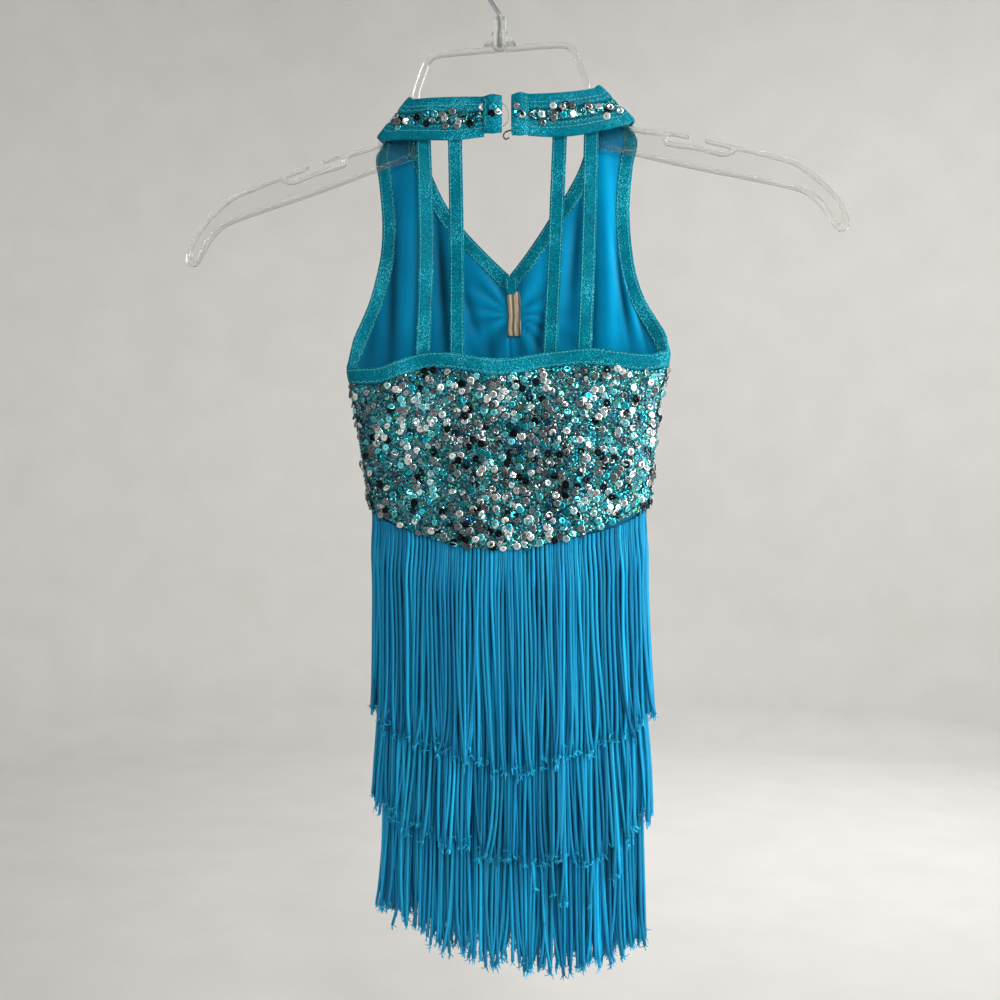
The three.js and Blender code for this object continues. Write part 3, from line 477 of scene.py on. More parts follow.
def body_point(turn, z, side):
    """x = middle + half width * sin(turn); y = side * depth * cos(turn) ** 0.8, flat near the top."""
    rounded = smooth_read(BODY["z"], BODY["depth"], z) * np.cos(turn).clip(0) ** SIDE_ROUNDNESS
    flat = smoothstep(-205, -137, z) if side > 0 else 0.0
    depth = np.maximum(0.15, mix(rounded, FOLD_RADIUS, flat))
    return np.stack(np.broadcast_arrays(middle(z) + half_width(z) * np.sin(turn), side * depth, z), -1)


def front_point(x, z):
    """The point of the body's front at x and z, found by way of the turn that lies at x."""
    return body_point(turn_at(x, z), z, 1)


def grid_normals(grid):
    """Cross product of a grid's two directions, to unit length."""
    return unit(np.cross(np.gradient(grid, axis=1), np.gradient(grid, axis=0)))


# %% Pattern rows of the front, and the edges of the halter
ARMHOLE = dict(
    left=dict(edge_x=[-80.4, -84.2, -82.3, -80.7, -81.5, -84.1, -89.0, -94.8, -99.5, -101.8, -102.6],
              edge_z=[-137.2, -145, -160, -184, -204, -218.6, -237.2, -251.9, -263, -274, -283],
              seam_x=[-72.0, -74.7, -72.8, -71.2, -72.2, -75.0, -80.3, -86.8, -92.5, -97.6, -101.0],
              seam_z=[-127.7, -143, -160, -184, -205.5, -221, -240.5, -256.5, -270, -283, -293.5]),
    right=dict(edge_x=[87.0, 89.0, 86.0, 84.0, 84.3, 86.1, 89.1, 93.9, 101.0, 106.8, 109.0],
               edge_z=[-135.2, -142.4, -158, -181, -196.3, -214.5, -228.9, -242, -254.5, -264.5, -275],
               seam_x=[78.6, 79.6, 76.5, 74.5, 74.9, 76.9, 80.1, 86.0, 94.3, 101.5, 106.6],
               seam_z=[-126.8, -141.0, -158, -181, -197.5, -217, -232.2, -247.2, -261.3, -275, -286]),
)
NECK = dict(
    left=dict(edge_x=[-56.4, -53.7, -47.5, -37.3, -25.5, -15.2, -4.8, 4.4],
              edge_z=[-109.2, -136.8, -153.8, -175.7, -192.1, -203.5, -214.1, -222.8],
              seam_x=[-64.5, -62.6, -56.0, -44.9, -32.4, -21.8, -11.0, 4.4],
              seam_z=[-118.5, -140, -158.5, -181.5, -198.7, -210.3, -221.3, -236]),
    right=dict(edge_x=[61.2, 57.2, 52.4, 43.2, 32.5, 22.4, 12.8, 4.8],
               edge_z=[-108.3, -135.3, -153.4, -170.8, -185.5, -200, -213, -222.8],
               seam_x=[69.6, 66.2, 61.0, 51.4, 40.4, 30.2, 19.4, 4.8],
               seam_z=[-117, -138.5, -157.5, -175.8, -191, -205.5, -220, -236]),
)
FRONT_ROWS = dict(
    inner=[-121.3, -140, -158, -175, -190, -202, -213, -223, -236.4, -248, -262, -276, -288, -298,
           -315, -335, -356, -377, -390],
    outer=[-127.3, -143, -160, -175, -190, -203, -214, -224, -235, -246, -258, -270, -280, -296,
           -309, -325, -342, -358, -369],
)
MITRE_ROW = 8
WAIST = dict(across=[-1, -0.74, -0.38, 0.06, 0.4, 0.68, 1], z=[-377, -389, -400, -403, -397.5, -389, -377])
BACK_TOP = dict(
    across=[-1, -0.78, -0.65, -0.52, -0.4, -0.25, -0.08, 0.05, 0.22, 0.34, 0.53, 0.7, 0.88, 1],
    z=[-284.5, -284.6, -280.9, -276.8, -275.6, -277.4, -280.7, -281, -278.1, -276.5, -275, -277.2,
       -279, -276],
    ripple=[0, 0.5, -1.4, 1.2, 1.6, -0.8, -2.4, -1.8, 0.9, 2.0, 1.4, -1.2, -0.4, 0],
)
BACK_BINDING = 11


def waist_at(turn):
    """The waist's height, read across the body by the sine of the turn."""
    return smooth_read(WAIST["across"], WAIST["z"], np.sin(turn))


# %% [markdown]
# ## Folds placed one by one
# Stretch cloth on a hanger falls in a few long, soft folds, and gathers fan out from the short
# elastic under the V. Each row is one fold: where its middle lies, its half length and half width,
# how far it lies towards the wall (+) or the viewer (-), and how it leans.

# %% Folds of the front
FOLDS = dict(
    x=[-74, -64, -55, -41, -32, -21, -16, 24, 36, 48, 58, 70, 79, 85, 90, 95, -88, -8, 18],
    z=[-236, -215, -226, -225, -240, -250, -268, -262, -236, -205, -240, -212, -238, -246, -254, -262, -262,
       -275, -272],
    length=[54, 60, 56, 60, 44, 30, 18, 20, 44, 50, 60, 62, 34, 26, 20, 16, 24, 18, 16],
    width=[3.4, 4.6, 4.0, 3.6, 4.2, 3.0, 3.4, 4.0, 4.6, 3.8, 4.0, 4.6, 2.2, 2.0, 1.8, 1.6, 4.0, 3.2, 3.2],
    depth=[2.6, -2.0, 2.8, 2.8, -2.2, 2.0, -1.4, 1.8, -2.2, 2.2, 2.8, -2.8, 2.4, -1.6, 2.0, 1.6, 1.6,
           1.2, -1.0],
    lean=[0.03, 0.04, 0.02, -0.06, -0.10, -0.3, -0.35, 0.30, 0.12, 0.08, 0.0, -0.03, -0.16, -0.22,
          -0.28, -0.34,
          0.15, -0.1, 0.1],
)
ELASTIC = dict(x=7.2, z=-248.8, half_width=4.2, top=-234.4, bottom=-263.4)
GATHERS = dict(count=11, depth=1.4, reach=15, start=6)


def fold_sum(table, x, z):
    """Sum over the rows of depth * exp(-(side / width)^2 - (down / length)^2), side off the lean."""
    total = np.zeros(np.broadcast(x, z).shape)
    for fold_x, fold_z, length, width, depth, lean in zip(*table.values()):
        down = z - fold_z
        side = x - fold_x - lean * down
        total += depth * np.exp(-(side / width) ** 2 - (down / length) ** 2)
    return total


def front_folds(x, z):
    """The front's folds, plus ripples that fan out round the elastic and fade with their reach."""
    reach = np.hypot(x - ELASTIC["x"], (z - ELASTIC["z"]) * 0.45)
    angle = np.arctan2(z - ELASTIC["z"], x - ELASTIC["x"])
    ripple = np.sin(angle * GATHERS["count"] + 2.2 * np.sin(angle * 2.0 + 1.0))
    fade = np.exp(-((reach - GATHERS["start"]) / GATHERS["reach"]).clip(0)) * smoothstep(4, 11, reach)
    return (fold_sum(FOLDS, x, z) + GATHERS["depth"] * ripple * fade) * smoothstep(-128, -150, z)


# %% [markdown]
# ## The front and its lining
# The front is one piece of cloth with two wings. Each half is a grid: a row runs from the neck
# binding, or below the V from the middle, out to the armhole binding, or below it to the side seam.
# The lining repeats the same grid a millimetre further in.

# %% Front grid
def front_half(name, offset, rows=112, columns=46, tuck=2.2):
    """Rows interpolate the pattern rows and columns run over the turn. The sheet moves out by offset,
    and its edges reach into the folded bindings by tuck."""
    sign = -1 if name == "left" else 1
    last = len(FRONT_ROWS["inner"]) - 1
    index = np.unique(np.concatenate([np.linspace(0, last + 1, rows), [MITRE_ROW]]))[:, None]
    steps = np.arange(last + 1)
    inner_z = np.interp(index, steps, FRONT_ROWS["inner"])
    outer_z = np.interp(index, steps, FRONT_ROWS["outer"])
    neck, arm = NECK[name], ARMHOLE[name]
    neck_x = smooth_read(neck["seam_z"], neck["seam_x"], inner_z) - sign * tuck
    neck_x = sign * np.maximum(sign * neck_x, sign * CENTRE)
    inner_x = np.where(index < MITRE_ROW, neck_x, CENTRE)
    arm_turn = turn_at(smooth_read(arm["seam_z"], arm["seam_x"], outer_z) + sign * tuck, outer_z)
    outer_turn = np.where(outer_z < arm["seam_z"][-1], sign * math.pi / 2, arm_turn)
    across = np.linspace(0, 1, columns)[None]
    turn = mix(turn_at(inner_x, inner_z), outer_turn, across)
    z = mix(inner_z, outer_z, across)
    z = np.where(index > last, mix(z, waist_at(turn), index - last), z)
    points = body_point(turn, z, 1)
    points[..., 1] += front_folds(points[..., 0], z) * np.cos(turn).clip(0)
    normals = grid_normals(points)
    normals *= np.sign(normals[..., 1:2].mean())
    return points + normals * offset


def fold_shade(points):
    """Painted shade, as a grey for each point: darker in the troughs where the cloth folds away to the front,
    and towards the left, away from the window lamp.
    """
    # painted shade: darker in the troughs of the folds
    grey = 1.0 - 0.27 * np.clip(front_folds(points[:, 0], points[:, 2]), -1.2, 2.9)
    # painted shade: darker towards the left, away from the window lamp
    grey *= mix(0.68, 1.0, smoothstep(-90, 70, points[:, 0]))
    return np.repeat(grey[:, None], 3, axis=1)


def two_halves(name, offset, material, slot, node):
    """Both halves as one sheet, welded down the middle below the V."""
    shapes = []
    for side in ("left", "right"):
        grid = front_half(side, offset)
        faces = grid_faces(*grid.shape[:2])
        shapes.append((grid.reshape(-1, 3), [faces if side == "left" else faces[:, ::-1]]))
    points, faces = join_shapes(shapes)
    points, inverse = np.unique(points.round(3), axis=0, return_inverse=True)
    piece = mesh_object(name, points, [inverse.ravel()[f] for f in faces], material, fold_shade(points))
    add_wall(piece, 0.5)
    return place(piece, slot, node)


front = two_halves("front_cloth", 0.75, ground_mat, "sequin_cloth", "front_panel")
lining = two_halves("front_lining_cloth", -0.65, lining_mat, "lining", "front_lining")

# %% [markdown]
# ## The low back
# The back is a band from the underarm to the waist. Its top edge waves as the straps pull on it,
# and the sequin cloth is a little baggy in the middle.

# %% Back grid
BACK_FOLDS = dict(
    x=[-62, -30, 2, 34, 60, 82], z=[-322, -345, -330, -318, -350, -330], length=[38, 34, 46, 30, 40, 36],
    width=[8, 9, 11, 8, 9, 7], depth=[0.9, -0.8, 1.2, -0.9, 0.8, -0.7], lean=[0] * 6)


def back_edge(key, turn):
    """One row of the back's top edge, its height or ripple, read by the sine of the turn."""
    return smooth_read(BACK_TOP["across"], BACK_TOP[key], np.sin(turn))


def back_point(turn, z):
    """The body's back, with the top edge's ripple fading out below the binding into the folds."""
    points = body_point(turn, z, -1)
    fade = 1 - smoothstep(0, 33, back_edge("z", turn) - z)
    points[..., 1] += back_edge("ripple", turn) * fade
    points[..., 1] += fold_sum(BACK_FOLDS, points[..., 0], z) * (1 - fade)
    return points


def back_sheet(offset, rows=44, columns=104):
    """The back from its binding down to the waist, moved by the offset along its normals."""
    turn = np.linspace(-math.pi / 2, math.pi / 2, columns)[None]
    down = np.linspace(0, 1, rows)[:, None]
    z = mix(back_edge("z", turn) - BACK_BINDING - 0.3, waist_at(turn), down)
    points = back_point(np.broadcast_to(turn, z.shape), z)
    normals = grid_normals(points)
    normals *= -np.sign(normals[..., 1:2].mean())
    return points + normals * offset


back = shell("back_cloth", back_sheet(0.75), ground_mat, "sequin_cloth", ["back_panel"])

# %% [markdown]
# ## Folded bindings
# A binding is elastic folded in half over an edge, so its section is a flat loop that is round at
# the fold. The section is a superellipse carried along two curves, the edge and the seam.

# %% Binding section
BINDING_HALF = 1.35


def folded_strip(edge, seam, half, sides=18, crown=0.0, squareness=0.45):
    """Ring point = mix(edge, seam, w) + normal * h, with w and h a superellipse of the angle."""
    along = np.gradient(edge, axis=0)
    normal = unit(np.cross(along, seam - edge))
    angle = full_turn(sides)
    w = 0.5 - 0.5 * np.sign(np.cos(angle)) * np.abs(np.cos(angle)) ** squareness
    h = half * np.sign(np.sin(angle)) * np.abs(np.sin(angle)) ** squareness
    h = h * (1 + crown * np.sin(w * math.pi))
    rings = mix(edge[:, None], seam[:, None], w[None, :, None]) + normal[:, None] * h[None, :, None]
    return outward(*loft(rings[None])), normal


def curve_points(table, x_key, z_key, steps):
    """Points of a drawn curve: x and z, read at even steps through the table's rows."""
    index = np.linspace(0, len(table[x_key]) - 1, steps)
    rows = np.arange(len(table[x_key]))
    return smooth_read(rows, table[x_key], index), smooth_read(rows, table[z_key], index)


def on_front(x, z):
    """A point of the front at x and z, moved by 0.6 of the folds times the cosine of its turn."""
    points = front_point(x, z)
    points[..., 1] += front_folds(x, z) * 0.6 * np.cos(turn_at(x, z)).clip(0)
    return points


stitch_paths = []


def sew(edge, seam, normal, *rows):
    """Leaves a thread's path on both faces for each row: share from edge to seam, stand, zigzag."""
    for face in (-1, 1):
        for share, stand, zigzag in rows:
            stitch_paths.append((mix(edge, seam, share) + normal * face * stand, zigzag, normal))


def binding(name, edge, seam, half, *nodes, **form):
    """A folded strip in glitter spandex; returns its normal, which the stitches need."""
    shape, normal = folded_strip(edge, seam, half, **form)
    place(mesh_object(name, *shape, binding_mat), "glitter_binding", *nodes)
    return normal


for side in ("left", "right"):
    for label, table, steps in (("armhole", ARMHOLE[side], 90), ("v", NECK[side], 80)):
        edge = on_front(*curve_points(table, "edge_x", "edge_z", steps))
        seam = on_front(*curve_points(table, "seam_x", "seam_z", steps))
        name = f"binding_{label}_{side}"
        normal = binding(name, edge, seam, BINDING_HALF, f"front_{name}", crown=0.12)
        sew(edge, seam, normal, (0.86, 1.42, 0.5), (0.16, 1.42, 0.0))

# %% Point of the V
down = np.linspace(0, 1, 24)
x = 5.6 + 0.6 * np.sin(down * 3)
z = mix(-224.5, -236.2, down)
width = mix(4.6, 3.0, smoothstep(0.55, 1.0, down))
face = on_front(x, z) - np.array([0, 2.2, 0])
edge, seam = face - width[:, None] * [1, 0, 0], face + width[:, None] * [1, 0, 0.08]
normal = binding("binding_v_end", edge, seam, 0.7, crown=0.3, squareness=0.4)
sew(edge, seam, normal, (0.2, 0.85, 0.35), (0.8, 0.85, 0.35))

# %% Back binding
turn = np.linspace(-math.pi / 2 + 0.02, math.pi / 2 - 0.02, 220)
edge = back_point(turn, back_edge("z", turn))
seam = back_point(turn, back_edge("z", turn) - BACK_BINDING)
normal = binding("binding_back", edge, seam, BINDING_HALF, "back_binding", crown=0.15)
sew(edge, seam, normal, (0.84, 1.42, 0.5), (0.14, 1.36, 0.0))

# %% [markdown]
# ## The collar
# The halter's two wings fold over the hanger on a slant and run on as the back collar. Along each
# half lie two bindings with a strip of sequin cloth between them.

# %% Collar form
FOLD = dict(left=dict(top=(-56.6, -109.0), low=(-78.8, -135.1)),
            right=dict(top=(61.4, -108.1), low=(84.3, -131.9)))
COLLAR = dict(
    left=dict(upper_x=[-8.9, -24, -38, -49, -56.6], upper_z=[-111.6, -110.7, -110, -109.4, -109],
              lower_x=[-8.9, -27, -44.9, -63, -78.8], lower_z=[-137.6, -138.6, -137.6, -135.8, -135.1],
              y=[-10, -9.4, -8.4, -6.4, -4.1]),
    right=dict(upper_x=[19.7, 31, 42, 52.5, 61.4], upper_z=[-111.4, -111.4, -111, -109.8, -108.1],
               lower_x=[19.7, 35, 51, 68, 84.3], lower_z=[-138.2, -139.6, -139, -135.8, -131.9],
               y=[-10, -9.4, -8.4, -6.4, -4.1]),
)
FOLD_SHARE = 0.95


def collar_point(name, along, across):
    """along 0 to 1 runs from the end tab to the fold's axis, 1 to 2 half a turn round that axis."""
    along, across = np.broadcast_arrays(along, across)
    table, rows = COLLAR[name], np.arange(5)
    index = along.clip(0, 1) * 4
    x = mix(smooth_read(rows, table["upper_x"], index), smooth_read(rows, table["lower_x"], index), across)
    z = mix(smooth_read(rows, table["upper_z"], index), smooth_read(rows, table["lower_z"], index), across)
    y = smooth_read(rows, table["y"], index)
    top, low = np.array(FOLD[name]["top"]), np.array(FOLD[name]["low"])
    line = unit((low - top)[None])[0]
    out = np.array([-line[1], line[0]]) * (-1 if name == "left" else 1)
    angle = (along.clip(1, 2) - 1) * math.pi - math.pi / 2
    reach = FOLD_RADIUS * np.cos(angle)
    folded = along > 1
    x = np.where(folded, mix(top[0], low[0], across) + out[0] * reach, x)
    z = np.where(folded, mix(top[1], low[1], across) + out[1] * reach, z)
    y = np.where(folded, FOLD_RADIUS * np.sin(angle), y)
    return np.stack([x, y, z], -1)


collar_along = np.concatenate([np.linspace(0, 1, 50)[:-1], 1 + np.linspace(0, 1, 26) * FOLD_SHARE])
for side in ("left", "right"):
    for label, edge_share, seam_share in (("top", 0.0, 0.372), ("low", 1.0, 0.616)):
        edge = collar_point(side, collar_along, edge_share)
        seam = collar_point(side, collar_along, seam_share)
        normal = binding(f"collar_band_{label}_{side}", edge, seam, 1.15, f"collar_binding_{label}_{side}",
                         crown=0.16)
        sew(edge, seam, normal, (0.82, 1.24, 0.5), (0.55, 1.3, 0.0))
    strip = collar_point(side, collar_along[:, None], np.linspace(0.372, 0.628, 8)[None])
    shell(f"collar_cloth_{side}", strip, ground_mat, "sequin_cloth", [f"collar_{side}"], 0.8)

# %% [markdown]
# ## End tabs and straps
# Binding wraps each end of the collar, and four straps of the same elastic run from the collar to
# the back band. A strap is stitched near both edges.

# %% End tabs
TABS = [dict(name="left", left=-8.9, right=2.6, top=-111.2, bottom=-135.8, sewn=0.12),
        dict(name="right", left=9.6, right=19.8, top=-110.9, bottom=-138.0, sewn=0.88)]
TAB_FACE = -13.3
for tab in TABS:
    across = np.linspace(0, 1, 40)
    x = mix(tab["left"], tab["right"], across)
    y = -10.2 - 1.2 * np.sin(across * math.pi)
    pinch = np.cos(across * math.tau)
    edge = np.stack([x, y, tab["top"] - 0.42 * pinch], -1)
    seam = np.stack([x, y, tab["bottom"] + 0.35 * pinch], -1)
    binding(f"collar_end_{tab['name']}", edge, seam, 1.7, f"collar_tab_{tab['name']}",
            crown=0.18, squareness=0.35)
    z = np.linspace(tab["top"] - 2, tab["bottom"] + 2, 30)
    line = np.stack(np.broadcast_arrays(mix(tab["left"], tab["right"], tab["sewn"]), TAB_FACE, z), -1)
    stitch_paths.append((line, 0.4, np.tile([0.0, -1.0, 0.0], (30, 1))))

# %% Straps
STRAPS = dict(top=[-50.1, -28.7, 40.2, 60.0], middle=[-47.8, -27.0, 37.0, 58.2],
              low=[-50.2, -26.5, 33.2, 55.1], turn=[-1.7, 0.5, 0.6, -0.4])
STRAP_HALF_WIDTH = 4.75
down = np.linspace(0, 1, 80)
for number, (top, middle_x, low, turn) in enumerate(zip(*STRAPS.values())):
    node = f"strap_{number + 1}"
    low_corner, high_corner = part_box(node)
    x = smooth_read([0, 0.5, 1], [top, middle_x, low], down)
    z = mix(high_corner[2], low_corner[2], down) / MM
    ends_y = sorted((low_corner[1] / MM + 0.7, high_corner[1] / MM - 0.7))
    y = mix(ends_y[1], ends_y[0], smooth_read([0, 0.5, 1], [0, 0.55, 1], down))
    twist = turn * (1 + 0.3 * np.sin(down * math.pi * (1.4 + 0.3 * number) + number))
    twist = twist * np.sin(down * math.pi)
    edge = np.stack([x - STRAP_HALF_WIDTH, y + twist, z], -1)
    seam = np.stack([x + STRAP_HALF_WIDTH, y - twist, z], -1)
    normal = binding(f"back_{node}", edge, seam, 0.75, node, crown=0.1, squareness=0.3)
    sew(edge, seam, normal, (0.13, 0.86, 0.0), (0.87, 0.86, 0.0))

# %% [markdown]
# ## Stitches
# Every seam above left the path of its thread. A stitch is a short tube, and a zigzag seam slants
# each one the other way. All are joined in one light mesh.

# %% Sew
STITCH = dict(pitch=2.5, length=1.8, radius=0.19)


def points_along(keys, points, at):
    """Each of a line's three coordinates read at the same places."""
    return np.stack([np.interp(at, keys, values) for values in points.T], -1)


def stitches(path, zigzag, normal):
    """Even places down the path; each stitch runs from one place towards the next and leaves a gap."""
    length = path_length(path)
    count = int(length[-1] / STITCH["pitch"]) - 1
    start = (np.arange(count) + 0.5) * STITCH["pitch"]
    share = np.linspace(0, 1, 3)
    places = start[:, None] + share[None] * STITCH["length"]
    centres = points_along(length, path, places)
    up = points_along(length, normal, places)
    sideways = unit(np.cross(np.gradient(centres, axis=1), up))
    sway = zigzag * (share * 2 - 1)[None] * np.where(np.arange(count) % 2, 1, -1)[:, None]
    return tubes(centres + sideways * sway[..., None], STITCH["radius"], 4, up)


sewn = [stitches(*path) for path in stitch_paths]
place(mesh_object("stitching", *join_shapes(sewn), thread_mat), "glitter_binding")

# %% [markdown]
# ## Gather elastic and closure
# The tan elastic is woven in lengthwise ribs and sewn flat inside the front. The collar closes with
# a small bent wire hook and a loop of clear elastic cord.

# %% Gather elastic
w = np.linspace(-1, 1, 64)[None]
down = np.linspace(0, 1, 26)[:, None]
x = ELASTIC["x"] + w * ELASTIC["half_width"] * (1 + 0.06 * np.sin(down * 9)) + 0.8 * np.sin(down * 2.4)
z = np.broadcast_to(mix(ELASTIC["top"], ELASTIC["bottom"], down), x.shape)
face = on_front(x, z)
relief = 0.4 * np.abs(np.cos(w * math.tau)) * (1 - w**8) + 0.08 * np.sin(down * 30)
outer = face - (2.3 + relief)[..., None] * [0, 1, 0]
inner = face - np.array([0, 1.6, 0])
rings = np.concatenate([outer, inner[:, ::-1]], axis=1)
place(mesh_object("gather_tape", *outward(*loft(rings[None])), elastic_mat), "elastic", "gather_elastic")

# %% Hook and loop
CLOSURE_Y = -7.5
WIRE_RADIUS = 0.5
HOOK_BENDS = dict(x=[12.5, 8, 4.6, 3.4, 4.8, 7.2], y=[0, 0, -0.2, -0.4, -0.4, -0.2],
                  z=[-133.2, -133.4, -134.6, -137, -139, -138.2])
LOOP_BENDS = dict(x=[-4, 3, 6.4, 6, 2, -4], y=[0, 0.2, 0.6, 0.6, 0.2, 0],
                  z=[-117, -116, -121, -127, -130.6, -130])


def wire_piece(name, bends, material, slot, node, steps=60):
    """A smooth curve through a few bends, carrying a circle."""
    rows = np.arange(len(bends["x"]))
    at = np.linspace(0, len(rows) - 1, steps)
    centres = np.stack([smooth_read(rows, bends[key], at) for key in "xyz"], -1) + [0, CLOSURE_Y, 0]
    shape = outward(*tubes(centres[None], WIRE_RADIUS, 12, DEPTHWISE))
    return place(mesh_object(name, *shape, material), slot, node)


wire_piece("collar_hook", HOOK_BENDS, dark_wire_mat, "closure_wire", "closure_hook")
wire_piece("collar_loop", LOOP_BENDS, clear_cord_mat, "clear_loop", "closure_loop")

# %% [markdown]
# ## Sequins and glitter
# The cloth carries loose-lying sequins of 5 mm, each sewn through its centre hole, over a crowd of
# hologram bits. Both are scattered by area over the grids made above. Each gets its own tilt, and its
# colour comes from one of two palettes, one with painted highlights and one with painted shade. A
# sequin is a ring-shaped profile spun in ten steps, so it stays light.

# %% Scatter over a grid
random = np.random.default_rng(20)


def scatter(grid, count, out_sign):
    """Picks cells in proportion to their area and a slow wave, in even steps, and a free place in each."""
    a, b, c, d = grid[:-1, :-1], grid[:-1, 1:], grid[1:, 1:], grid[1:, :-1]
    normal = np.cross(c - a, d - b)
    x, z = a[..., 0], a[..., 2]
    crowd = 1 + 0.5 * np.sin(x / 15 + 2 * np.sin(z / 13)) * np.sin(z / 17 + x / 29)
    area = (np.linalg.norm(normal, axis=-1) * crowd).ravel() / 2
    total = np.cumsum(area)
    pick = np.searchsorted(total, (np.arange(count) + random.random(count)) / count * total[-1])
    pick = pick.clip(0, len(area) - 1)
    s, t = random.random((2, count, 1))
    corners = [corner.reshape(-1, 3)[pick] for corner in (a, b, c, d)]
    points = mix(mix(corners[0], corners[1], s), mix(corners[3], corners[2], s), t)
    normals = unit(normal.reshape(-1, 3)[pick])
    normals *= np.where(normals[:, 1:2] * out_sign < 0, -1, 1)
    return points, normals


def tilted_frames(normals, tilt):
    """Three unit directions for each item: its own up is the cloth's normal, leaned at random."""
    up = unit(normals + random.normal(0, tilt, normals.shape))
    first = unit(np.cross(up, random.normal(0, 1, normals.shape)))
    return first, np.cross(up, first), up


SEQUIN_PROFILE = dict(r=[0.4, 0.53, 1.4, 2.45, 2.45, 0.4], h=[-0.04, -0.04, 0.03, 0.2, 0.08, -0.14])
# painted shade in the sequins' centre holes
HOLE_SHADE = 0.12
SEQUIN_TILT, BIT_TILT = 0.25, 0.3
# Lit and shaded copies of the sequins' and bits' colours: the lit palettes hold painted highlights and
# glints, the shade palettes hold painted shade.
SHADE_TINTS = (["858d92"] * 26 + ["5c666b"] * 16 + ["14181b"] * 18 + ["d9dedc"] * 10 + ["1c8c98"] * 14
               + ["1a4f72"] * 6 + ["57b9c2"] * 10)
LIT_TINTS = (["f6feff"] * 30 + ["c4f0f5"] * 16 + ["98a2a6"] * 9 + ["7fe6f0"] * 20 + ["35c0d8"] * 12
             + ["22282c"] * 9 + ["7f8685"] * 7)
BIT_SHADE = (["126f7d"] * 30 + ["083f50"] * 28 + ["3fbcc4"] * 12 + ["16406b"] * 9 + ["7c8f94"] * 12
             + ["2ea862"] * 5 + ["d5f0ef"] * 4 + ["a8983a"] * 2)
BIT_LIT = (["2fb9c8"] * 30 + ["5fe0e4"] * 28 + ["147f90"] * 16 + ["bff5f5"] * 10 + ["3a7fc4"] * 6
           + ["45c97a"] * 6 + ["9aa9ac"] * 4)


def lit_share(points):
    """Odds that a spot gets the palette with painted highlights: a few long folds down the cloth, some broad
    patches, and more towards the right, nearer the window lamp.
    """
    x, z = points[:, 0], points[:, 2]
    folds = np.sin(x / 9.5 + 1.3 * np.sin(z / 31.0)) + 0.8 * np.sin(x / 21.0 - z / 37.0 + 1.0)
    patches = np.sin(x / 33.0 + 0.6) * np.sin(z / 24.0 + x / 60.0)
    return np.clip(0.42 + 0.25 * folds + 0.36 * patches + x / 400, 0.03, 0.97)


def tints_for(shade, lit, points, corners):
    """One colour for each item, from the palette with painted highlights or the one with painted shade,
    repeated for its corners.
    """
    palettes = [np.array([linear(name) for name in names]) for names in (shade, lit)]
    count = len(points)
    picks = [palette[random.integers(0, len(palette), count)] for palette in palettes]
    # painted light: the lit copy where the share wins, the shaded copy elsewhere
    chosen = np.where(random.random((count, 1)) < lit_share(points)[:, None], picks[1], picks[0])
    return np.repeat(chosen * random.uniform(0.8, 1.1, (count, 1)), corners, axis=0)


def sequins(name, grid, count, out_sign, lift, sides=10):
    """Profile (radius, height) carried round each disc's own centre; the hole's rim gets painted shade."""
    points, normals = scatter(grid, count, out_sign)
    first, second, up = tilted_frames(normals, SEQUIN_TILT)
    angle = full_turn(sides)
    r, h = np.array(SEQUIN_PROFILE["r"]), np.array(SEQUIN_PROFILE["h"])
    first, second, up, centre = (
        rows[:, None, None]
        for rows in (first, second, up, points + normals * (lift + random.random((count, 1)))))
    circle = first * np.cos(angle)[:, None] + second * np.sin(angle)[:, None]
    rings = centre + circle * r[:, None, None] + up * h[:, None, None]
    # the sequins' colours hold painted highlights and painted shade
    tints = tints_for(SHADE_TINTS, LIT_TINTS, points, len(r) * sides).reshape(count, len(r), sides, 3)
    # painted shade: the rings at the centre hole are darkened
    tints[:, [0, -1]] *= HOLE_SHADE
    shape = outward(rings.reshape(-1, 3), [repeated(ring_faces(len(r), sides), count, len(r) * sides)])
    return place(mesh_object(name, *shape, sequin_mat, tints.reshape(-1, 3)), "sequin_cloth")


def glitter(name, grid, count, out_sign, lift, size=0.72):
    """Bits are flat pyramids: four corners round a middle and one point above."""
    points, normals = scatter(grid, count, out_sign)
    first, second, up = tilted_frames(normals, BIT_TILT)
    radius = size * random.uniform(0.7, 1.25, (count, 1))
    centre = points + normals * (lift + random.random((count, 1)) * 0.5)
    corners = np.stack([centre + first * radius, centre + second * radius, centre - first * radius,
                        centre - second * radius, centre + up * 0.16], 1)
    bit = np.array([[0, 1, 4], [1, 2, 4], [2, 3, 4], [3, 0, 4], [2, 1, 0], [3, 2, 0]])
    shape = outward(corners.reshape(-1, 3), [repeated(bit, count, 5)])
    # the bits' colours hold painted highlights and painted shade
    piece = mesh_object(name, *shape, bits_mat, tints_for(BIT_SHADE, BIT_LIT, points, 5))
    piece.data.shade_flat()
    return place(piece, "sequin_cloth")


back_face = back_sheet(1.0)
front_faces = {side: front_half(side, 1.0) for side in ("left", "right")}
sequins("sequins_back", back_face, 780, -1, 0.45)
glitter("glitter_back", back_face, 12000, -1, 0.15)
for side in ("left", "right"):
    sequins(f"sequins_front_{side}", front_faces[side], 680, 1, 0.45)
    glitter(f"glitter_front_{side}", front_faces[side], 7600, 1, 0.15)

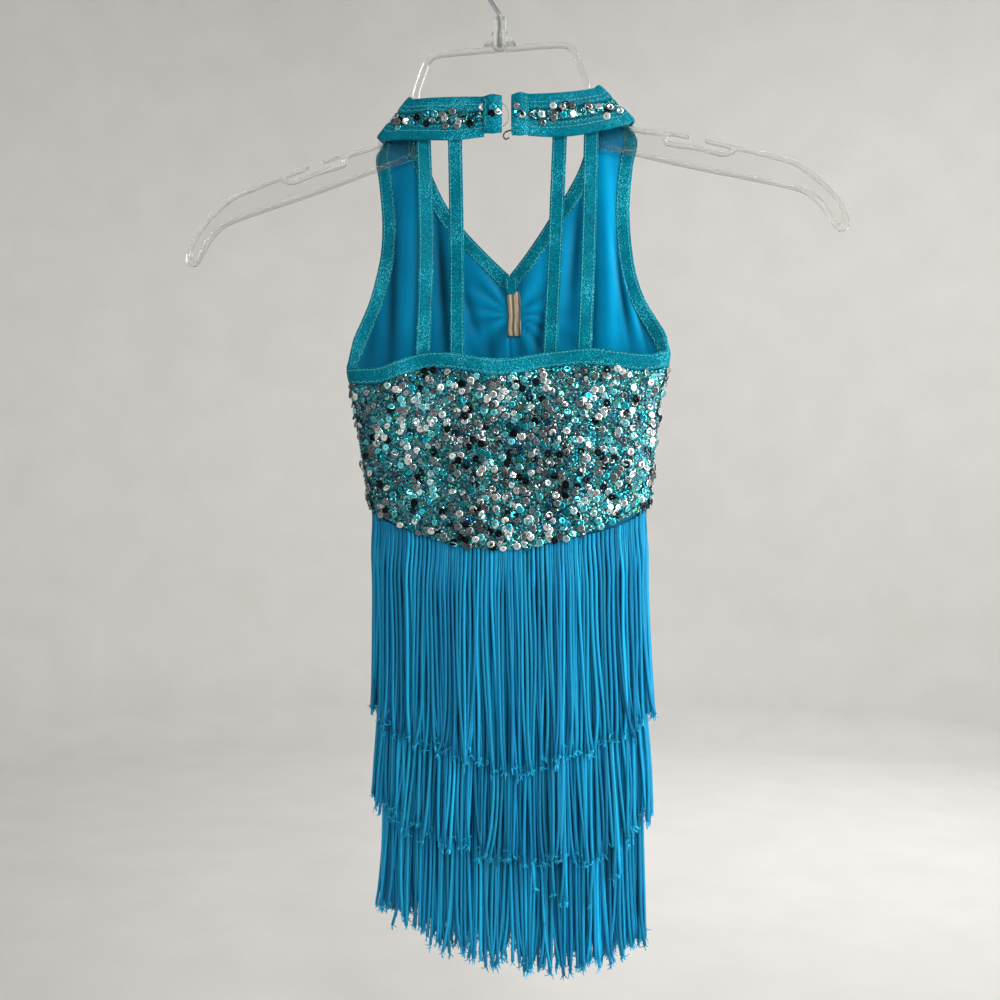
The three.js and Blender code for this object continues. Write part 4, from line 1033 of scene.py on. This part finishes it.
# %% Sequins on the collar
for side in ("left", "right"):
    face = collar_point(side, collar_along[:60, None], np.linspace(0.27, 0.73, 8)[None])
    face[..., 1] -= 1.2
    sequins(f"sequins_collar_{side}", face, 15, -1, 0.5)
    sequins(f"sequins_collar_edge_{side}", face[8:52, 2:6], 10, -1, 1.2)
    glitter(f"glitter_collar_{side}", face[:, 2:6], 520, -1, 0.1)
for tab, count in zip(TABS, (3, 5)):
    middle_z = (tab["top"] + tab["bottom"]) / 2
    x, z = np.meshgrid(np.linspace(tab["left"] + 2.5, tab["right"] - 1.5, 5),
                       np.linspace(middle_z + 4.5, middle_z - 3, 4))
    patch = np.stack([x, np.full_like(x, -13.1), z], -1)
    sequins(f"sequins_end_{tab['name']}", patch, count, -1, 0.4)

# %% [markdown]
# ## The skirt and its fringe
# The skirt under the fringe is a plain knit tube. Three heading tapes run round it, and from each
# hang two layers of chainette. A strand's path adds three things to a straight drop: it swings out
# from its tape to its tier's own distance, it drifts with its neighbours into loose clumps, and it
# wavers a little by itself. Its last centimetre flicks to one side.

# %% Skirt form
SKIRT = dict(z=[-372, -410, -460, -530, -680], left=[-81.0, -77.4, -76.6, -75.4, -75.0],
             right=[90.0, 87.6, 88.0, 89.6, 90.6], depth=[14.0, 13.0, 12.4, 12.0, 12.0])
SKIRT_TOP, SKIRT_END = -374, -527


def skirt_point(turn, z, stand):
    """An oval with flattened sides, grown by stand; the turn goes once round from the left."""
    left, right, depth = (smooth_read(SKIRT["z"], SKIRT[key], z) for key in ("left", "right", "depth"))
    sine = np.sin(turn)
    y = -np.sign(sine) * np.abs(sine) ** SIDE_ROUNDNESS
    x = (left + right) / 2 - ((right - left) / 2 + stand) * np.cos(turn)
    return np.stack(np.broadcast_arrays(x, (depth + stand) * y, z), -1)


def dip(turn):
    """0 at the sides and 1 at the middle of the back and front."""
    return np.abs(np.sin(turn)) ** 1.2


turn = full_turn(96)[None]
down = np.linspace(0, 1, 24)[:, None]
z = mix(mix(SKIRT_TOP, SKIRT_TOP - 20, dip(turn)), SKIRT_END, down)
skirt = shell("skirt_cloth", skirt_point(turn, z, 0), knit_mat, "skirt_cloth", ["skirt_base"], around=True)

# %% Fringe tiers
TIERS = [
    dict(node="fringe_tier_1", side=-373, middle=-396, start=4.2, stand=7.6, flare=0.8,
         across=[-1, -0.72, -0.38, 0.06, 0.4, 0.68, 1], ends=[-507, -528, -535, -544, -534, -525, -507]),
    dict(node="fringe_tier_2", side=-426, middle=-447, start=2.2, stand=4.8, flare=3.0,
         across=[-1, -0.72, -0.38, 0.0, 0.3, 0.68, 1], ends=[-569, -580, -593, -599, -600, -595, -570]),
    dict(node="fringe_tier_3", side=-494, middle=-515, start=1.9, stand=2.2, flare=1.0,
         across=[-1, -0.65, -0.38, 0.0, 0.3, 0.68, 1], ends=[-637, -651, -662, -667, -668, -665, -649]),
]
HEADING = 8
HEADING_STAND = 1.3
LAYERS = [dict(count=138, inward=0.0, radius=1.12), dict(count=128, inward=1.8, radius=1.05),
          dict(count=118, inward=3.4, radius=1.05)]
STRAND_STEPS, STRAND_SIDES = 18, 6
FRAYS_EACH, FRAY_STEPS, FRAY_SIDES = 4, 5, 3
FRAY_OVERLAP = 0.8
LOOPS_DOWN = 150
FRINGE_TINTS = ["068fbf", "0585b6", "0a99c9", "037aab", "088bb6", "10a2d2"]


def even_turns(count, stand):
    """Turns at which the outline has gone equal parts of its way round."""
    fine = np.linspace(0, math.tau, 2000)
    path = skirt_point(fine, np.full(fine.shape, -530.0), stand)
    length = path_length(path)
    return np.interp((np.arange(count) + 0.5) / count * length[-1], length, fine)


def drift(turn, seed):
    """A slow wave round the skirt: three sines whose whole numbers of waves close on themselves."""
    waves = [np.sin(turn * 17 + seed), 0.8 * np.sin(turn * 29 + seed * 2.3),
             0.6 * np.sin(turn * 47 + seed * 0.7)]
    return sum(waves) / 2.4


def strands(tier, order, layer):
    """Centre lines (count, steps, 3), with the swing out, the drift and the waver described above."""
    count = layer["count"]
    turn = even_turns(count, tier["stand"]) + random.normal(0, 0.002, count)
    root = mix(tier["side"], tier["middle"], dip(turn)) - HEADING * 0.4
    end = smooth_read(tier["across"], tier["ends"], -np.cos(turn)) + random.normal(0, 2.4, count).clip(-5, 5)
    if layer["inward"]:
        end = end + random.uniform(0, 7, count)
    elif order == 1:
        loose = (random.random(count) < 0.3) & (np.abs(turn - 2.1) < 0.42)
        end = np.where(loose, end - random.uniform(8, 30, count), end)
    share = np.linspace(0, 1, STRAND_STEPS)[None]
    z = mix(root[:, None], end[:, None], share)
    stand = mix(tier["start"], tier["stand"] - layer["inward"] * smoothstep(0.05, 0.4, share),
                smoothstep(0.0, 0.25, share))
    grow = share ** 1.5
    seed = 1.7 * order + 2.6 * layer["inward"]
    stand = stand + tier["flare"] * smoothstep(0.45, 0.9, share)
    stand = stand + (1.3 * drift(turn, 5.0 + seed)[:, None] + random.normal(0, 0.6, (count, 1))) * grow
    sway = (3.6 - 0.7 * layer["inward"]) * drift(turn, 1.7 + seed)[:, None] * grow
    sway = sway + random.normal(0, 1.3, (count, 1)) * grow
    sway = sway + random.normal(0, 0.9, (count, 1)) * np.sin(share * math.pi * 1.4) * share
    sway = sway + random.normal(0, 2.0, (count, 1)) * share ** 9
    stand = stand + random.uniform(0, 1.6, (count, 1)) * share ** 9
    phase = random.uniform(0, math.tau, (count, 1))
    waver = 0.35 * np.sin(share * random.uniform(5, 11, (count, 1)) + phase) * smoothstep(0, 0.2, share)
    centre = skirt_point(turn[:, None], z, stand)
    tangent = unit(skirt_point(turn[:, None] + 0.01, z, stand) - skirt_point(turn[:, None] - 0.01, z, stand))
    return centre + tangent * (sway + waver)[..., None], turn


def frays(tips, per_tip=FRAYS_EACH, steps=FRAY_STEPS):
    """Curled thread ends: each leaves its tip at a random slant and bends over in a small arc."""
    count = len(tips) * per_tip
    start = np.repeat(tips, per_tip, axis=0)
    share = np.linspace(0, 1, steps)[None]
    length = random.uniform(2.8, 6.0, (count, 1))
    heading = random.uniform(0, math.tau, (count, 1))
    curl = random.uniform(-1.7, 1.7, (count, 1))
    lean = random.uniform(0.1, 0.75, (count, 1)) + curl * share
    reach = np.cumsum(np.sin(lean), axis=1) * length / steps
    drop = np.cumsum(np.cos(lean), axis=1) * length / steps
    offsets = np.stack([np.cos(heading) * reach, np.sin(heading) * reach * 0.6, -drop], -1)
    return start[:, None] + offsets + [0, 0, FRAY_OVERLAP]


def layer_of_fringe(tier, order, layer):
    """One ring of strands and their frayed ends: its two shapes, tints and loop counts."""
    centres, turn = strands(tier, order, layer)
    count = len(turn)
    radius = layer["radius"] * random.uniform(0.9, 1.1, (count, 1)) * np.linspace(1, 0.94, STRAND_STEPS)
    palette = np.array([linear(name) for name in FRINGE_TINTS])
    colour = palette[random.integers(0, len(palette), count)] * random.uniform(0.68, 1.25, (count, 1))
    loops = np.linspace(0, LOOPS_DOWN, STRAND_STEPS)[:, None] + np.arange(STRAND_SIDES) / STRAND_SIDES
    threads = frays(centres[:, -1])
    shapes = [tubes(centres, radius, STRAND_SIDES, DEPTHWISE),
              tubes(threads, np.linspace(0.46, 0.24, FRAY_STEPS)[None], FRAY_SIDES,
                    np.array([0.3, 1.0, 0.2]))]
    thread_colour = colour * 1.35 + np.array([0.01, 0.1, 0.1])
    tints = [np.repeat(colour, STRAND_STEPS * STRAND_SIDES, axis=0),
             np.repeat(thread_colour, FRAYS_EACH * FRAY_STEPS * FRAY_SIDES, axis=0)]
    return shapes, tints, [np.tile(loops.ravel(), count), np.zeros(len(shapes[1][0]))]


for order, tier in enumerate(TIERS):
    layers = [layer_of_fringe(tier, order, layer) for layer in (LAYERS if order == 2 else LAYERS[:2])]
    shapes, tints, alongs = (sum(parts, []) for parts in zip(*layers))
    piece = mesh_object(f"fringe_{order + 1}", *outward(*join_shapes(shapes)), fringe_mat,
                        np.concatenate(tints), np.concatenate(alongs))
    place(piece, "fringe", tier["node"])
    around = full_turn(150)[None]
    z = mix(tier["side"], tier["middle"], dip(around)) - np.linspace(0, HEADING, 4)[:, None]
    shell(f"fringe_heading_{order + 1}", skirt_point(around, z, HEADING_STAND), knit_mat, "fringe", [], 0.6,
          around=True)

# %% [markdown]
# ## The hanger
# The hanger is one clear moulding: a rounded rim round sunk panels with a thin web. A filled
# two-dimensional curve with a bevel gives exactly that rim, and a second, thinner one gives the web.
# The hanger hangs a degree out of level.

# %% Hanger outline
HANGER_TOP = dict(
    x=[0, 12, 40, 46, 49.5, 52, 58.2, 58.3, 68, 80, 92, 106, 120.3, 120.3, 108.6, 108, 125, 142, 146.4, 131,
       131.5, 149, 170, 185, 192, 198, 207, 213, 217, 218, 216.5],
    z=[-75.2, -75.6, -76.4, -78, -81, -85.5, -102.5, -110.5, -120.8, -132.2, -135.8, -138.8, -142.3, -144.4,
       -141.7, -145, -149.2, -154.4, -152.8, -147.6, -145.6, -150.6, -156.8, -162.2, -166.6, -171.5, -180.5,
       -188.5, -197, -204, -207.6])
HANGER_UNDER = dict(
    x=[211.5, 207, 201.6, 196, 189, 176, 162, 137, 108, 81, 60, 56.8, 55.6, 55.2, 54.2, 48.6, 46, 41, 12, 0],
    z=[-208.4, -203, -194, -187.6, -182.6, -178.4, -174.4, -167.8, -159.6, -151.4, -145.6, -143.2, -136, -125,
       -104, -88, -83, -80.2, -79.6, -79.4])
RECESS = dict(
    x=[64, 78, 91, 103, 106, 125, 142, 148.5, 151, 169, 184, 196, 204.6, 210.4, 213.8, 213.4, 210.4, 205.4,
       198.4, 190.4, 177, 163, 138, 109, 82, 62.6, 59.6, 59.4],
    z=[-126, -134.8, -139, -141.8, -147.6, -152, -157.2, -155.6, -154.2, -159.6, -165, -173.8, -182.4, -190.4,
       -198.4, -203, -203.2, -193, -184.8, -179.8, -175.6, -171.6, -165, -156.8, -148.6, -142.6, -139, -128])
HANGER_THICKNESS = 4.4
HANGER_PIVOT = (1.2, -150.0)
ROLL = math.radians(1.25)
RIM_BEVEL = 1.0


def closed_curve(x, z, per_side=6):
    """Smooth closed curve through the points; its parameter grows by the root of each chord."""
    points = np.stack([x, z], -1).astype(float)
    ring = np.concatenate([points[-3:], points, points[:3]])
    keys = path_length(ring, 0.5)
    at = np.linspace(keys[3], keys[len(points) + 3], len(points) * per_side, endpoint=False)
    return np.stack([smooth_read(keys, ring[:, axis], at) for axis in (0, 1)], -1)


def flat_piece(name, outlines, thickness, bevel, material, slot, nodes, shrink=0.0):
    """A filled curve drawn in X and Z, bevelled, made a mesh, rolled and stood upright."""
    curve = bpy.data.curves.new(name, "CURVE")
    curve.dimensions = "2D"
    curve.fill_mode = "BOTH"
    curve.extrude = (thickness / 2 - bevel) * MM
    curve.bevel_depth = bevel * MM
    curve.offset = -(bevel + shrink) * MM
    curve.bevel_resolution = 3
    for outline in outlines:
        spline = curve.splines.new("POLY")
        spline.points.add(len(outline) - 1)
        spline.points.foreach_set("co", np.concatenate(
            [outline * MM, np.zeros((len(outline), 1)), np.ones((len(outline), 1))], axis=1).ravel())
        spline.use_cyclic_u = True
    holder = link_object(name + "_drawn", curve)
    bpy.context.view_layer.update()
    mesh = bpy.data.meshes.new_from_object(holder.evaluated_get(bpy.context.evaluated_depsgraph_get()))
    bpy.data.objects.remove(holder)
    flat = np.empty(len(mesh.vertices) * 3)
    mesh.vertices.foreach_get("co", flat)
    flat = flat.reshape(-1, 3) / MM
    x, z, y = flat[:, 0], flat[:, 1] - HANGER_PIVOT[1], -flat[:, 2]
    turned = np.stack([x * math.cos(ROLL) - z * math.sin(ROLL) + HANGER_PIVOT[0], y,
                       x * math.sin(ROLL) + z * math.cos(ROLL) + HANGER_PIVOT[1]], -1)
    mesh.vertices.foreach_set("co", (turned * MM).ravel())
    mesh.name = name
    mesh.materials.clear()
    mesh.materials.append(material)
    mesh.update()
    piece = link_object(name, mesh)
    merge = piece.modifiers.new("weld", "WELD")
    merge.merge_threshold = 0.00002
    piece.modifiers.new("flat_faces", "WEIGHTED_NORMAL")
    mesh.shade_smooth()
    return place(piece, slot, *nodes)


half = np.stack([HANGER_TOP["x"] + HANGER_UNDER["x"], HANGER_TOP["z"] + HANGER_UNDER["z"]], -1)
mirror = half[::-1][1:-1] * [-1, 1]
outline = closed_curve(*np.concatenate([half, mirror]).T)
holes = [closed_curve(np.array(RECESS["x"]) * sign, np.array(RECESS["z"])) for sign in (1, -1)]
flat_piece("hanger_rim", [outline, *holes], HANGER_THICKNESS, RIM_BEVEL, plastic_mat, "hanger_plastic",
           ["hanger_body"])
flat_piece("hanger_web", holes, 1.4, 0.2, plastic_mat, "hanger_plastic", [], shrink=-1.6)

# %% [markdown]
# ## Boss and hook
# A round boss with two gussets stands on the arch and holds the hook's threaded foot. The hook is
# 2.6 mm wire: straight, bent to one side, then round in an arc of 20 mm radius over the rail.

# %% Boss and gussets
BOSS = dict(radius=[1.7, 3.6, 4.0, 4.0, 4.4, 4.4, 1.7], z=[-57.3, -57.3, -58.0, -73.0, -75.5, -77.4, -77.4])
BOSS_SIDES = 40
rings = spun(BOSS["radius"], BOSS["z"], BOSS_SIDES)
faces = ring_faces(len(rings), BOSS_SIDES)
place(mesh_object("hanger_boss", *outward(rings.reshape(-1, 3), [faces]), plastic_mat), "hanger_plastic")
for sign, name in ((-1, "left"), (1, "right")):
    rows = np.array([(4.2, -66.0), (10.6, -75.0), (10.6, -76.2), (4.2, -76.2)]) * [sign, 1]
    plate = np.stack([np.stack([rows[:, 0], np.full(4, y), rows[:, 1]], -1) for y in (-1.1, 1.1)])
    place(mesh_object(f"hanger_gusset_{name}", *outward(*loft(plate[None])), plastic_mat), "hanger_plastic")

# %% Hook
HOOK = dict(wire=1.3, radius=20, bend=-55.5, foot=-77.3, end=-22)
centre_z = -(HOOK["radius"] - HOOK["wire"])
away = math.acos(HOOK["radius"] / (centre_z - HOOK["bend"]))
angle = np.linspace(math.pi * 1.5 - away, math.radians(HOOK["end"]), 120)
arc = np.stack([np.cos(angle) * HOOK["radius"], np.zeros(120), centre_z + np.sin(angle) * HOOK["radius"]], -1)
shank_z = np.linspace(HOOK["foot"], HOOK["bend"], 160)
shank = np.stack([np.zeros(160), np.zeros(160), shank_z], -1)
line = mix(shank[-1], arc[0], np.linspace(0, 1, 20)[1:-1, None])
path = np.concatenate([shank, line, arc])
bend = np.arange(len(path))
for _ in range(30):
    path[150:190] = mix(path[150:190], (path[149:189] + path[151:191]) / 2, 0.5)
thread = np.where(bend < 130, 0.16 * np.sin(bend * 2 * math.pi / 8), 0.0)
ends = np.minimum(1, np.sqrt(np.clip((len(path) - bend) / 6, 0, 1)))
radius = (HOOK["wire"] - 0.02 + thread - 0.12 * (bend < 130)) * ends
shape = outward(*tubes(path[None], radius[None], 18, DEPTHWISE))
place(mesh_object("hook_wire", *shape, steel_mat), "hook_steel", "hanger_hook")

# %% [markdown]

# %% [markdown]
# ## Studio
# A pale floor runs up into a round pale wall. A large soft lamp stands to the right, as daylight
# from a window would, a weaker one fills from the left, and small bright ones give the sequins
# something to catch.

# %% Floor and wall
FLOOR_Z = -1000
ROLLER_MARK = 1000 / 9
profile_z = FLOOR_Z + np.array([0, 0, 0, 60, 300, 2600])
rings = spun([1, 1500, 2300, 2520, 2600, 2600], profile_z, 96)
floor_mat, tree, shader = finish_of("matte_studio_paint", "e6e4e0", Roughness=0.85)
roller = texture(tree, "Noise", ROLLER_MARK, Detail=3.0)["Fac"]
feed(tree, shader, Base_Color=ramp(tree, roller, [(0.3, "e4e2de"), (0.7, "e9e7e4")]))
floor = mesh_object("studio_floor", rings.reshape(-1, 3), [grid_faces(6, 96, around=True)], floor_mat)

# %% Lamps and world
def area_lamp(name, place_mm, aim_mm, width, height, watts, colour="ffffff"):
    """A rectangular lamp at its place, turned so that its -Z axis points at its aim."""
    lamp = bpy.data.lights.new(name, "AREA")
    lamp.shape = "RECTANGLE"
    lamp.size, lamp.size_y = width, height
    lamp.energy = watts
    lamp.color = linear(colour)
    holder = link_object(name, lamp)
    start, aim = Vector(place_mm) * MM, Vector(aim_mm) * MM
    holder.location = start
    holder.rotation_euler = (aim - start).to_track_quat("-Z", "Y").to_euler()
    holder.visible_camera = holder.visible_transmission = False


area_lamp("window_light", (520, -250, -320), (0, 0, -380), 0.35, 0.9, 5.2, "fffaf4")
area_lamp("fill_light", (-1500, -1300, 100), (0, 0, -360), 1.4, 1.4, 2.5, "eef3ff")
area_lamp("wall_light", (500, 900, 500), (500, 2500, -200), 1.2, 1.2, 12)
area_lamp("spark_light", (500, -1500, 700), (0, 0, -340), 0.25, 0.25, 9)
area_lamp("back_light", (900, 1700, 500), (0, 0, -360), 1.2, 1.2, 14)
world = bpy.data.worlds.new("soft_daylight")
world.use_nodes = True
world.node_tree.nodes["Background"].inputs["Color"].default_value = (*linear("e9eaec"), 1)
world.node_tree.nodes["Background"].inputs["Strength"].default_value = 0.38
bpy.context.scene.world = world
bpy.context.scene.view_settings.view_transform = "Standard"

# %% [markdown]
# ## Camera
# The camera stands level with the middle of the costume, 750 mm away and 8.6 degrees to its right.

# %% Camera
YAW = math.radians(8.6)
DISTANCE, EYE_Z, FOCAL_PIXELS = 750, -371.7, 1150
camera_data = bpy.data.cameras.new("camera")
camera_data.sensor_width = 36
camera_data.lens = 36 * FOCAL_PIXELS / 1000
camera = link_object("camera", camera_data)
camera.location = (DISTANCE * math.sin(YAW) * MM, -DISTANCE * math.cos(YAW) * MM, EYE_Z * MM)
camera.rotation_euler = (math.pi / 2, 0, YAW)
bpy.context.scene.camera = camera
